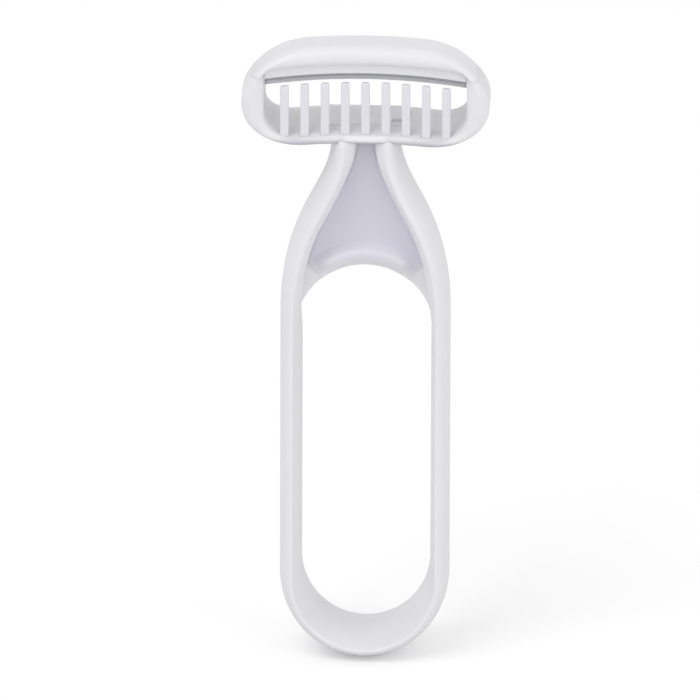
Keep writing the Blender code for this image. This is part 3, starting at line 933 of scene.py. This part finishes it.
    def ring(self, point: Vector, inwards: Vector) -> list[Vector]:
        """The band's section at a point of the silhouette.

        Args:
            point: the silhouette's point.
            inwards: the direction into the handle.

        Returns:
            Points round the section.
        """
        share = ease((point.y - self.blend_start) / self.blend_length)
        chin = self.chin_setback * ease((point.y - self.chin_start) / self.chin_length)
        above = max(point.y - self.top, 0.0) / self.collar_height
        chin += self.collar_lean * above**2
        half = (self.depth - chin) / 2
        skin = []
        for angle in spread(math.pi, 0.0, self.crown_steps):
            crowned = point + inwards * self.crown * (1 - math.sin(angle))
            skin.append((crowned, chin + half * (1 - math.cos(angle))))
        ridge = point + inwards * (self.crown + self.land)
        bevel_end = mix(self.lip_depth, self.flank_depth, ease((share - 0.5) * 2))
        foot = point + inwards * self.flank_offset(bevel_end, share, point.y)
        front = self.edge_point(point, foot)
        neck_knee = point + inwards * (self.flank(point.y) - self.knee_inset)
        knee = ridge.lerp(foot, 0.5).lerp(neck_knee, share)
        knee_depth = mix(mix(chin, bevel_end, 0.5), chin + self.knee_depth, share)
        wall = point + inwards * self.flank_offset(self.web_back, share, point.y)
        back = self.edge_point(point, wall)
        rim = point + inwards * mix(self.back_thickness, self.crown + self.land, share)
        corners = [skin[-1], (ridge, chin), (knee, knee_depth), (foot, bevel_end)]
        corners += [(front, bevel_end), (back, self.web_back), (wall, self.web_back)]
        corners += [(rim, self.depth), skin[0]]
        line = [at_depth(place.x, depth, place.y) for place, depth in corners]
        rounds = (self.ridge_round, self.knee_round, *[self.edge_round] * len(corners))
        inner = soften(line, rounds, self.round_steps)[1:-1]
        section = [at_depth(place.x, depth, place.y) for place, depth in skin] + inner
        if above > 0.0:
            deepest = self.collar_back - HALF_DEPTH
            section = [Vector((spot.x, min(spot.y, deepest), spot.z)) for spot in section]
        return section

    def stations(self) -> list[Vector]:
        """The silhouette's points, with a close pair where the panel's end cuts the bead.

        Returns:
            The points.
        """
        points = self.path()
        line = [points[0]]
        for before, after in zip(points, points[1:]):
            low, high = sorted((before.y, after.y))
            if low < self.spoke_high < high:
                cut = (self.spoke_high - before.y) / (after.y - before.y)
                apart = self.joint / (high - low)
                line += [before.lerp(after, cut - apart), before.lerp(after, cut + apart)]
            line.append(after)
        return line

    def web(self) -> Object:
        """The wall behind the panel, sunk into both flanks."""
        path = self.path()
        arch = []
        for angle in spread(self.spoke_angle, math.pi - self.spoke_angle, self.end_steps):
            x = (self.arch_half_width + self.joint) * math.cos(angle)
            arch.append((x, self.spring + (self.arch_height + self.joint) * math.sin(angle)))
        side = []
        for index, point in enumerate(path):
            sunk = point + self.inward(path, index) * (self.flank(point.y) - self.web_sink)
            if point.x > 0 and self.spoke_high < point.y < self.top + CLOSE:
                side.append((sunk.x, min(sunk.y, self.top)))
        outline = arch + [(-x, z) for x, z in side] + side[::-1]
        return prism("web", outline, self.web_front, self.web_back - self.web_front - self.joint)

    def tee(self, name: str, margin: float, back: float, over: float) -> Object:
        """The T's bar, which slopes with the head's floor, or the recess that takes it.

        Args:
            name: the object's name.
            margin: the clearance round it.
            back: the depth that it reaches.
            over: how far it goes on above the bar.

        Returns:
            The object.
        """
        front = self.tee_front - margin
        low, high = -self.tee_thickness / 2 - margin, self.tee_thickness / 2 + over
        rings = []
        for x in (-self.tee_half_width - margin, self.tee_half_width + margin):
            ring = []
            for depth, level in ((front, low), (back, low), (back, high), (front, high)):
                rise = self.tee_slope * (depth - self.tee_front)
                ring.append(at_depth(x, depth, self.tee_low + level + rise))
            rings.append(ring)
        return loft(name, rings)

    def lintel(self) -> Object:
        """The bar over the panel's top, whose rounded front runs into the head's lip."""
        front, low = self.chin_setback + self.lintel_inset, self.top + self.lintel_rise
        high = self.top + self.collar_height + self.lintel_inset
        turn = self.lintel_round
        section = (
            (front + turn, high),
            (front + turn * self.lintel_brow, high - turn),
            (front, mix(low, high, 0.5)),
            (front + turn * self.lintel_chin, low + turn / 2),
            (front + turn, low),
            (self.collar_back, low),
            (self.collar_back, high),
        )
        half = self.top_half_width - self.crown
        rings = [[at_depth(x, depth, z) for depth, z in section] for x in (-half, half)]
        return loft("lintel", rings)

    def tongue(self) -> list[Object]:
        """The bridge between the flanks, and the T that holds the head."""
        inner = self.top_half_width - self.crown
        bridge = block(
            "bridge",
            (-inner, self.web_front + self.web_sink, self.top - self.bridge_height),
            (inner, self.depth - self.bridge_inset, self.top),
        )
        stem = block(
            "stem",
            (-self.stem_half_width, self.stem_front, self.top - self.bridge_height / 2),
            (self.stem_half_width, self.stem_back, self.tee_low),
        )
        tee = self.tee("tee", 0.0, self.tee_back, 0.0)
        near = self.tee_front + self.notch_inset
        start, end = self.notch_start, self.notch_start + self.notch_width
        low, high = self.tee_low + self.notch_floor, self.tee_low + 2 * self.tee_thickness
        carve(tee, [block("notch", (start, near, low), (end, near + self.notch_length, high))])
        return [bridge, stem, tee, self.lintel()]

    def build(self) -> Object:
        """Makes the handle.

        Returns:
            The finished shape.
        """
        points = self.stations()
        rings = [self.ring(point, self.inward(points, index)) for index, point in enumerate(points)]
        shape = gather("handle_moulding", [loft("band", rings), self.web(), *self.tongue()])
        polish(shape)
        return shape


@dataclass
class NeckPanel(Assembly):
    """The satin panel between the flanks, which swells into a bead over the finger opening."""

    slot = Slot.PANEL
    nodes = ("neck_panel",)

    handle: HandleMoulding
    front: float = 0.0055
    thickness: float = 0.0014
    top: float = 0.1113
    edge_gap: float = 0.00001
    edge_round: float = 0.0005
    edge_drop: float = 0.0001
    bead_width: float = 0.0054
    bead_end_width: float = 0.0026
    bead_proud: float = 0.0022
    bead_crest: float = 0.62
    bead_limit: float = 0.9
    bead_fade: float = math.radians(13)
    # How far the painted light on the bead reaches past the opening's edge, as a share of the arch.
    painted_light_reach: float = 0.40
    field_steps: int = 10
    bead_steps: int = 18
    round_steps: int = 5
    top_steps: int = 4

    def rim(self) -> list[Vector]:
        """The panel's rim as (x, z) points, from its lower right corner over the top to its left.

        Returns:
            The points.
        """
        stations = self.handle.stations()
        right = []
        for index, point in enumerate(stations):
            if point.x > 0 and point.y > self.handle.spoke_high:
                offset = self.handle.flank(point.y) + self.edge_gap
                edge = point + self.handle.inward(stations, index) * offset
                if edge.y < self.top - CLOSE:
                    right.append(edge)
        half = self.handle.top_half_width - self.handle.flank(self.top) - self.edge_gap
        right += [Vector((x, self.top)) for x in spread(half, 0.0, self.top_steps)[:-1]]
        left = [Vector((-point.x, point.y)) for point in reversed(right)]
        return right + [Vector((0.0, self.top))] + left

    def proud(self, share: float) -> float:
        """How far the bead stands out, by the share of its width from the opening's edge."""
        if share < self.bead_crest:
            return math.sin(math.pi / 2 * share / self.bead_crest)
        fall = min((share - self.bead_crest) / (1 - self.bead_crest), 1.0)
        return math.cos(math.pi / 2 * fall) ** 2

    def painted_lightness(self, spot: Vector) -> float:
        """How much painted light a point gets, from 1 at the finger opening to 0 further up."""
        across = spot.x / self.handle.arch_half_width
        above = (spot.z - self.handle.spring) / self.handle.arch_height
        return 1 - ease((math.hypot(across, above) - 1) / self.painted_light_reach)

    def column(self, edge: Vector, angle: float) -> list[Vector]:
        """The panel's section from the opening's edge out to a point of its rim.

        Args:
            edge: the rim's point.
            angle: the arch's angle that the section starts from.

        Returns:
            Points round the section.
        """
        handle = self.handle
        height = handle.spring + handle.arch_height * math.sin(angle)
        start = Vector((handle.arch_half_width * math.cos(angle), height))
        reach = (edge - start).length
        wide = mix(self.bead_end_width, self.bead_width, math.sin(angle) ** 2)
        wide = min(wide, reach * self.bead_limit)
        turn = min(angle, math.pi - angle) - handle.spoke_angle
        proud = self.bead_proud * ease(turn / self.bead_fade)
        flat_end = max(reach - self.edge_round, wide)
        places = spread(0.0, wide, self.bead_steps)
        places += spread(wide, flat_end, self.field_steps)[1:]
        places += spread(flat_end, reach, self.round_steps)[1:]
        section = []
        for along in places:
            spot = start.lerp(edge, along / reach)
            left = min((reach - along) / self.edge_round, 1.0)
            drop = self.edge_drop * (1 - math.sqrt(max(1 - (1 - left) ** 2, 0.0)))
            depth = self.front + drop - proud * self.proud(along / wide)
            section.append(at_depth(spot.x, depth, spot.y))
        back = self.front + self.thickness
        return section + [at_depth(edge.x, back, edge.y), at_depth(start.x, back, start.y)]

    def build(self) -> Object:
        """Makes the panel.

        Returns:
            The finished shape.
        """
        rim = self.rim()
        first = math.atan2(rim[0].y - self.handle.spring, rim[0].x)
        scale = (math.pi / 2 - self.handle.spoke_angle) / (math.pi / 2 - first)
        rings = []
        for edge in rim:
            seen = math.atan2(edge.y - self.handle.spring, edge.x)
            rings.append(self.column(edge, math.pi / 2 + (seen - math.pi / 2) * scale))
        shape = loft("neck_panel_cover", rings)
        # Marks painted light on the bead by the finger opening.
        paint(shape, "paler", self.painted_lightness)
        polish(shape)
        return shape


@dataclass
class HeadForm:
    """Sizes that the head's pieces share, and the rule that bends them all alike."""

    half_width: float = 0.02475
    bottom: float = 0.1116
    top: float = 0.1323
    corner_width: float = 0.0135
    corner_height: float = 0.0102
    opening_half_width: float = 0.0203
    opening_bottom: float = 0.1135
    opening_top: float = 0.1287
    low_radius: float = 0.0063
    high_radius: float = 0.0016
    floor_depth: float = 0.0146
    top_depth: float = 0.009
    floor_rise: float = 0.0013
    bow: float = 0.0014
    drop: float = 0.0018
    parting: float = 0.1260
    joint: float = 0.00004
    front_round: float = 0.0026
    lip_round: float = 0.0010
    back_round: float = 0.0016
    edge_round: float = 0.0003
    crest: float = 0.42
    heel: float = 0.65
    back_share: float = 0.3
    rim_share: float = 0.08
    rim_edge: float = 0.02
    rim_drop: float = 0.3
    corner_steps: int = 26
    bar_steps: int = 28
    side_steps: int = 2
    turn_steps: int = 8
    wall_steps: int = 8

    def outline(
        self, half_width: float, low: float, high: float, corners: Sequence[Flat]
    ) -> list[Vector]:
        """(x, z) points round an upright rectangle with round corners.

        Args:
            half_width: half its width.
            low: its bottom.
            high: its top.
            corners: width and height of the bottom corners and of the top ones.

        Returns:
            The points, from the bottom right corner's start.
        """
        (low_width, low_height), (top_width, top_height) = corners
        low_x, low_z = half_width - low_width, low + low_height
        top_x, top_z = half_width - top_width, high - top_height
        places = (
            (low_x, low_z, low_width, low_height, -90, self.side_steps),
            (top_x, top_z, top_width, top_height, 0, self.bar_steps),
            (-top_x, top_z, top_width, top_height, 90, self.side_steps),
            (-low_x, low_z, low_width, low_height, 180, self.bar_steps),
        )
        arcs = []
        for x, z, width, height, start, _ in places:
            arc = []
            for angle in spread(start, start + 90, self.corner_steps):
                turn = math.radians(angle)
                arc.append(Vector((x + width * math.cos(turn), z + height * math.sin(turn))))
            arcs.append(arc)
        points = []
        for (*_, steps), arc, after in zip(places, arcs, arcs[1:] + arcs[:1]):
            points += arc
            points += [arc[-1].lerp(after[0], share) for share in spread(0.0, 1.0, steps)[1:-1]]
        return points

    def back(self, height: float) -> float:
        """Depth of the back face, which slants from the floor up to the top bar."""
        share = (height - self.opening_bottom) / (self.opening_top - self.opening_bottom)
        return mix(self.floor_depth, self.top_depth, min(max(share, 0.0), 1.0))

    def floor(self, depth: float) -> float:
        """Height of the floor, which rises towards the back."""
        return self.opening_bottom + self.floor_rise * depth / self.floor_depth

    def section(self, back: float, outer_back: float) -> list[Flat]:
        """The ring's section.

        Args:
            back: the back face's depth at the opening.
            outer_back: the back face's depth at the outside.

        Returns:
            Points round it, as the share of the way from the opening outwards, and the depth.
        """
        edge, front = self.edge_round, self.front_round
        heel_depth = outer_back - self.back_round
        turns = spread(0.0, math.pi / 2, self.turn_steps)
        line = [(0.0, depth) for depth in spread(back - edge, self.lip_round, self.wall_steps)[:-1]]
        for turn in turns:
            line.append((self.crest * (1 - math.cos(turn)), self.lip_round * (1 - math.sin(turn))))
        for turn in turns[1:]:
            line.append((mix(self.crest, 1.0, math.sin(turn)), front * (1 - math.cos(turn))))
        line += [(1.0, depth) for depth in spread(front, heel_depth, self.wall_steps)[1:-1]]
        for turn in turns:
            depth = heel_depth + self.back_round * math.sin(turn)
            line.append((mix(self.heel, 1.0, math.cos(turn)), depth))
        line.append((self.back_share, mix(back, outer_back, self.back_share)))
        return line + [(self.rim_share, back), (self.rim_edge, back - edge * self.rim_drop)]

    def ring(self, name: str) -> Object:
        """The whole ring, straight and not yet parted.

        Args:
            name: the object's name.

        Returns:
            The ring.
        """
        low, high = self.opening_bottom, self.opening_top
        corners = ((self.low_radius, self.low_radius), (self.high_radius, self.high_radius))
        inner = self.outline(self.opening_half_width, low, high, corners)
        corners = ((self.corner_width, self.corner_height),) * 2
        outer = self.outline(self.half_width, self.bottom, self.top, corners)
        middle = (low + high) / 2
        rings = []
        for near, far in zip(inner, outer):
            low_share = min(max((middle - near.y) / (middle - low), 0.0), 1.0)
            ring = []
            for across, depth in self.section(self.back(near.y), self.back(far.y)):
                point = near.lerp(far, across)
                rise = (self.floor(depth) - low) * low_share * (1 - across)
                ring.append(at_depth(point.x, depth, point.y + rise))
            rings.append(ring)
        return loft(name, rings, wrap=True)

    def bar(self, name: str, half_length: float, section: Sequence[Flat]) -> Object:
        """A straight bar along the head, with a section of (depth, z) points."""
        stations = spread(-half_length, half_length, 2 * self.bar_steps)
        return loft(name, [[at_depth(x, depth, z) for depth, z in section] for x in stations])

    def bend(self, shape: Object, finish: Material) -> None:
        """Bends a straight piece: its middle goes back, and its ends go down.

        Args:
            shape: the piece to bend.
            finish: its finished material.
        """
        sizes = {"Half Width": self.half_width, "Bow": self.bow, "Drop": self.drop}
        kinds = {**dict.fromkeys(sizes, "Float"), "Finish": "Material"}
        sheet = ShapeSheet("head_bow", kinds)
        place = sheet.add("GeometryNodeInputPosition")
        across = sheet.add("ShaderNodeSeparateXYZ", values={"Vector": place})
        across /= sheet.given("Half Width")
        share = across * across
        away = {"Y": sheet.given("Bow") * (1.0 - share), "Z": 0.0 - sheet.given("Drop") * share}
        offset = sheet.add("ShaderNodeCombineXYZ", values=away)
        values = {"Geometry": sheet.given("Geometry"), "Offset": offset}
        sheet.finish(sheet.add("GeometryNodeSetPosition", values=values))
        sheet.run(shape, {**sizes, "Finish": finish})

    def part(self, shape: Object, height: float, upper: bool) -> None:
        """Cuts a bent piece level and closes the cut.

        Args:
            shape: the piece.
            height: where it is cut.
            upper: whether the upper part stays.
        """
        bm = bmesh.new()
        bm.from_mesh(shape.data)
        made = bmesh.ops.bisect_plane(
            bm,
            geom=bm.verts[:] + bm.edges[:] + bm.faces[:],
            plane_co=(0.0, 0.0, height),
            plane_no=(0.0, 0.0, 1.0),
            clear_outer=not upper,
            clear_inner=upper,
        )
        edges = [item for item in made["geom_cut"] if isinstance(item, bmesh.types.BMEdge)]
        bmesh.ops.edgeloop_fill(bm, edges=edges)
        bmesh.ops.recalc_face_normals(bm, faces=bm.faces)
        bm.to_mesh(shape.data)
        bm.free()


def line_up(shape: Object, copy: Object, count: int, pitch: float) -> None:
    """Adds a row of copies along X to a shape, centred on the middle, and removes the original.

    Args:
        shape: the object that takes the row.
        copy: what is repeated.
        count: how many copies there are.
        pitch: the distance between two.
    """
    kinds = {"Copy": "Object", "Count": "Int", "Pitch": "Float", "Finish": "Material"}
    sheet = ShapeSheet(copy.name + "_row", kinds)
    step = sheet.given("Pitch")
    first = 0.0 - step * (sheet.given("Count") - 1.0) / 2.0
    line = sheet.add(
        "GeometryNodeMeshLine",
        {"mode": "OFFSET"},
        {
            "Count": sheet.given("Count"),
            "Start Location": sheet.add("ShaderNodeCombineXYZ", values={"X": first}),
            "Offset": sheet.add("ShaderNodeCombineXYZ", values={"X": step}),
        },
    )
    held = {"Object": sheet.given("Copy")}
    source = sheet.add("GeometryNodeObjectInfo", values=held, output="Geometry")
    copies = sheet.add("GeometryNodeInstanceOnPoints", values={"Points": line, "Instance": source})
    sheet.finish(sheet.join(sheet.given("Geometry"), copies))
    sheet.run(shape, {"Copy": copy, "Count": count, "Pitch": pitch})
    bpy.data.objects.remove(copy, do_unlink=True)


@dataclass
class HeadRing(Assembly):
    """The lower head: the floor and the end walls, with the recess that takes the handle's T."""

    slot = Slot.HEAD
    nodes = ("head_frame",)

    form: HeadForm
    handle: HandleMoulding
    recess_gap: float = 0.00012
    cut_over: float = 0.0012
    cut_behind: float = 0.003
    tongue_thickness: float = 0.0010
    tongue_inset: float = 0.0008
    tongue_width: float = 0.005
    tongue_start: float = 0.003
    tongue_length: float = 0.005
    tongue_root: float = 0.0006

    def tongue(self, name: str, side: int, margin: float, top: float) -> Object:
        """A tongue of the cap, or its pocket where the margin is above 0."""
        start = self.form.opening_half_width + self.tongue_inset
        near = side * (start - margin)
        far = side * (start + self.tongue_thickness + margin)
        front, back = self.tongue_start - margin, self.tongue_start + self.tongue_width + margin
        low = self.form.parting - self.tongue_length - margin
        return block(name, (min(near, far), front, low), (max(near, far), back, top))

    def build(self, finish: Material) -> Object:
        """Makes the lower head.

        Args:
            finish: its finished material.

        Returns:
            The finished shape.
        """
        form, handle, gap = self.form, self.handle, self.recess_gap
        ring = form.ring("head_ring_lower")
        form.bend(ring, finish)
        form.part(ring, form.parting, upper=False)
        behind = handle.depth + self.cut_behind
        half, above = handle.stem_half_width + gap, form.parting + self.cut_over
        slot_low = (-half, handle.stem_front - gap, form.bottom - self.cut_behind)
        tools = [
            handle.tee("tee_recess", gap, behind, self.cut_over),
            block("stem_slot", slot_low, (half, behind, handle.tee_low)),
            self.tongue("pocket_left", -1, gap, above),
            self.tongue("pocket_right", 1, gap, above),
        ]
        carve(ring, tools)
        polish(ring, HEAD_CREASE)
        return ring


@dataclass
class CuttingUnit:
    """The pull-off cap with its tongues and sloping seat, and the blade, clamp bar and pins."""

    form: HeadForm
    ring: HeadRing
    tilt: float = math.radians(30.0)
    edge_depth: float = 0.003
    edge_height: float = 0.1248
    width: float = 0.006
    thickness: float = 0.00025
    bevel: float = 0.0009
    edge_thinning: float = 0.45
    # Painted reflection across the blade: (way from the edge, brightness) stops for a bright edge,
    # a dark line and a lighter body.
    painted_glint_stops: tuple[Flat, ...] = (
        (0.0, 0.9),
        (0.0007, 0.9),
        (0.00078, 0.0),
        (0.00094, 0.0),
        (0.00102, 0.7),
        (0.006, 0.7),
    )
    end_gap: float = 0.0002
    rest_gap: float = 0.00004
    seat_setback: float = 0.0017
    seat_over: float = 0.0006
    apron_front: float = 0.0012
    apron_drop: float = 0.0020
    apron_round: float = 0.0003
    apron_cut: float = 0.3
    clamp_setback: float = 0.0016
    clamp_thickness: float = 0.0012
    clamp_front_round: float = 0.0004
    clamp_end_margin: float = 0.0009
    pin_setback: float = 0.0036
    pin_spacing: float = 0.0130
    pin_count: int = 3
    pin_radius: float = 0.0007
    pin_head_radius: float = 0.0012
    pin_head_height: float = 0.0006
    pin_head_side: float = 0.3
    pin_head_turn: float = math.radians(85)
    pin_steps: int = 28
    dome_steps: int = 6

    def spot(self, along: float, above: float) -> Flat:
        """(depth, z) from the blade's edge, by the way along its width and above its lower face."""
        depth = self.edge_depth + along * math.cos(self.tilt) - above * math.sin(self.tilt)
        return depth, self.edge_height + along * math.sin(self.tilt) + above * math.cos(self.tilt)

    def painted_glint_level(self, spot: Vector) -> float:
        """The painted reflection's brightness at a point of the straight blade, by the nearest stop
        across its width.
        """
        along = (spot.y + HALF_DEPTH - self.edge_depth) * math.cos(self.tilt)
        along += (spot.z - self.edge_height) * math.sin(self.tilt)
        return min((abs(stop - along), glint) for stop, glint in self.painted_glint_stops)[1]

    def cap(self, finish: Material) -> Object:
        """Makes the cap.

        Args:
            finish: its finished material.

        Returns:
            The finished shape.
        """
        form = self.form
        shell = form.ring("cap_ring")
        form.bend(shell, finish)
        form.part(shell, form.parting + form.joint, upper=True)
        above = self.thickness + self.rest_gap
        depth, height = self.spot(self.seat_setback, above)
        far = form.top_depth - self.seat_over
        far_height = height + (far - depth) * math.tan(self.tilt)
        top = max(form.opening_top, far_height) + self.seat_over
        turn, cut = self.apron_round, self.apron_round * self.apron_cut
        front, low = self.apron_front, form.opening_top - self.apron_drop
        section = (
            (depth, height),
            (far, far_height),
            (far, top),
            (front, top),
            (front, low + turn),
            (front + cut, low + cut),
            (front + turn, low),
        )
        seat = form.bar("seat", form.opening_half_width - self.end_gap, section)
        form.bend(seat, finish)
        root = form.parting + self.ring.tongue_root
        tongues = [self.ring.tongue(f"tongue_{side}", side, 0.0, root) for side in (-1, 1)]
        whole = gather("head_cap_shell", [shell, seat, *tongues])
        polish(whole, HEAD_CREASE)
        return whole

    def blade(self, finish: Material) -> Object:
        """Makes the blade, with its painted reflection marked across its width for its finish.

        Args:
            finish: its finished material.

        Returns:
            The finished shape.
        """
        lower, upper = [], []
        for along, _ in self.painted_glint_stops:
            thinning = self.thickness * self.edge_thinning * max(1 - along / self.bevel, 0.0)
            lower.append(self.spot(along, thinning))
            upper.append(self.spot(along, self.thickness - thinning))
        half = self.form.opening_half_width - self.end_gap
        blade = self.form.bar("blade_strip", half, [*lower, *reversed(upper)])
        # Paints reflection into the blade's colour across its width.
        paint(blade, "ground", self.painted_glint_level)
        self.form.bend(blade, finish)
        polish(blade, BLADE_CREASE)
        return blade

    def clamp(self, finish: Material) -> Object:
        """Makes the clamp bar.

        Args:
            finish: its finished material.

        Returns:
            The finished shape.
        """
        turn, top = self.clamp_front_round, -self.rest_gap
        low = top - self.clamp_thickness
        start = self.clamp_setback
        section = (
            self.spot(start + turn, low),
            self.spot(self.width - turn, low),
            self.spot(self.width, low + turn),
            self.spot(self.width, top),
            self.spot(start, top),
            self.spot(start, low + turn),
        )
        half = self.form.opening_half_width - self.clamp_end_margin
        bar = self.form.bar("clamp_bar", half, section)
        self.form.bend(bar, finish)
        polish(bar, HEAD_CREASE)
        return bar

    def pins(self, finish: Material) -> Object:
        """Makes the row of pins, their domed heads below the clamp bar.

        Args:
            finish: their finished material.

        Returns:
            The finished shape.
        """
        under = -2 * self.rest_gap - self.clamp_thickness
        profile = [(self.pin_radius, 0.0), (self.pin_radius, under), (self.pin_head_radius, under)]
        for turn in spread(0.0, self.pin_head_turn, self.dome_steps):
            drop = self.pin_head_height * mix(self.pin_head_side, 1.0, math.sin(turn))
            profile.append((self.pin_head_radius * math.cos(turn), under - drop))
        rings = []
        for radius, above in profile:
            ring = []
            for turn in spread(0.0, math.tau, self.pin_steps)[:-1]:
                depth, z = self.spot(self.pin_setback + radius * math.cos(turn), above)
                ring.append(at_depth(radius * math.sin(turn), depth, z))
            rings.append(ring)
        row = gather("clamp_pins", [])
        line_up(row, loft("pin", rings), self.pin_count, self.pin_spacing)
        self.form.bend(row, finish)
        polish(row)
        return row

    def dress(self, finishes: dict[Slot, Material]) -> None:
        """Builds the unit's pieces and gives each its finish and its place in the model.

        Args:
            finishes: the finished materials.
        """
        pins = tuple(f"clamp_pin_{word}" for word in ("left", "middle", "right"))
        enrol(self.cap(finishes[Slot.HEAD]), finishes, Slot.HEAD, Body.CAP, ("head_cap",))
        enrol(self.blade(finishes[Slot.BLADE]), finishes, Slot.BLADE, Body.CAP, ("blade",))
        enrol(self.clamp(finishes[Slot.CLAMP]), finishes, Slot.CLAMP, Body.CAP, ("blade_clamp",))
        enrol(self.pins(finishes[Slot.CLAMP]), finishes, Slot.CLAMP, Body.CAP, pins)


@dataclass
class Comb(Assembly):
    """The comb: a strip let into the front of the floor, and a row of free-standing teeth."""

    slot = Slot.COMB
    nodes = ("comb",)

    form: HeadForm
    count: int = 9
    pitch: float = 0.00404
    width: float = 0.0018
    foot_width: float = 0.0021
    tip_width: float = 0.0017
    front: float = 0.0012
    foot_depth: float = 0.0024
    tip_depth: float = 0.0012
    foot: float = 0.1131
    tip: float = 0.1246
    flare: float = 0.0007
    dome: float = 0.0004
    strip_depth: float = 0.0022
    strip_height: float = 0.0005
    strip_margin: float = 0.0004
    strip_proud: float = 0.00003
    turn_steps: int = 32
    shaft_steps: int = 10
    dome_steps: int = 7
    squareness: float = 3.8
    taper_gain: float = 1.4
    tip_round: float = 0.45

    def slice(self, height: float) -> list[Vector]:
        """A tooth's rounded section at a height.

        Args:
            height: the height of the section.

        Returns:
            Points round it.
        """
        share = (height - self.foot) / (self.tip - self.foot)
        wide = mix(self.width, self.tip_width, ease(1 + (share - 1) * self.taper_gain))
        above = (height - self.form.opening_bottom) / self.flare
        wide += (self.foot_width - self.width) * (1 - ease(above))
        deep = mix(self.foot_depth, self.tip_depth, share)
        left = max(height - self.tip + self.dome, 0.0) / self.dome
        shrink = 1 - self.tip_round * (1 - math.sqrt(max(1 - left**2, 0.0)))
        points = []
        for turn in spread(0.0, math.tau, self.turn_steps)[:-1]:
            x, depth = (
                math.copysign(abs(wave) ** (2 / self.squareness), wave) * size / 2 * shrink
                for wave, size in ((math.cos(turn), wide), (math.sin(turn), deep))
            )
            points.append(at_depth(x, self.front + deep / 2 + depth, height))
        return points

    def build(self, finish: Material) -> Object:
        """Makes the comb.

        Args:
            finish: its finished material.

        Returns:
            The finished shape.
        """
        back, low = self.front + self.strip_depth, self.form.opening_bottom - self.strip_height
        section = [(self.front, low), (back, low)]
        for depth in (back, self.front):
            section.append((depth, self.form.floor(depth) + self.strip_proud))
        half = (self.pitch * (self.count - 1) + self.width) / 2 + self.strip_margin
        comb = self.form.bar("comb_rack", half, section)
        dome_start = self.tip - self.dome
        heights = spread(self.foot, dome_start, self.shaft_steps)[:-1]
        for turn in spread(0.0, math.pi / 2, self.dome_steps):
            heights.append(dome_start + self.dome * math.sin(turn))
        tooth = loft("tooth", [self.slice(height) for height in heights])
        line_up(comb, tooth, self.count, self.pitch)
        self.form.bend(comb, finish)
        polish(comb)
        return comb


def main() -> None:
    """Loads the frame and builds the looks."""
    logging.basicConfig(level=logging.INFO, format="%(name)s: %(message)s")
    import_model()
    Studio().build()
    finishes = {slot: finish.make() for slot, finish in FINISHES.items()}
    handle = HandleMoulding()
    handle.dress(handle.build(), finishes)
    panel = NeckPanel(handle)
    panel.dress(panel.build(), finishes)
    form = HeadForm()
    ring = HeadRing(form, handle)
    ring.dress(ring.build(finishes[Slot.HEAD]), finishes)
    comb = Comb(form)
    comb.dress(comb.build(finishes[Slot.COMB]), finishes)
    CuttingUnit(form, ring).dress(finishes)


if __name__ == "__main__":
    main()
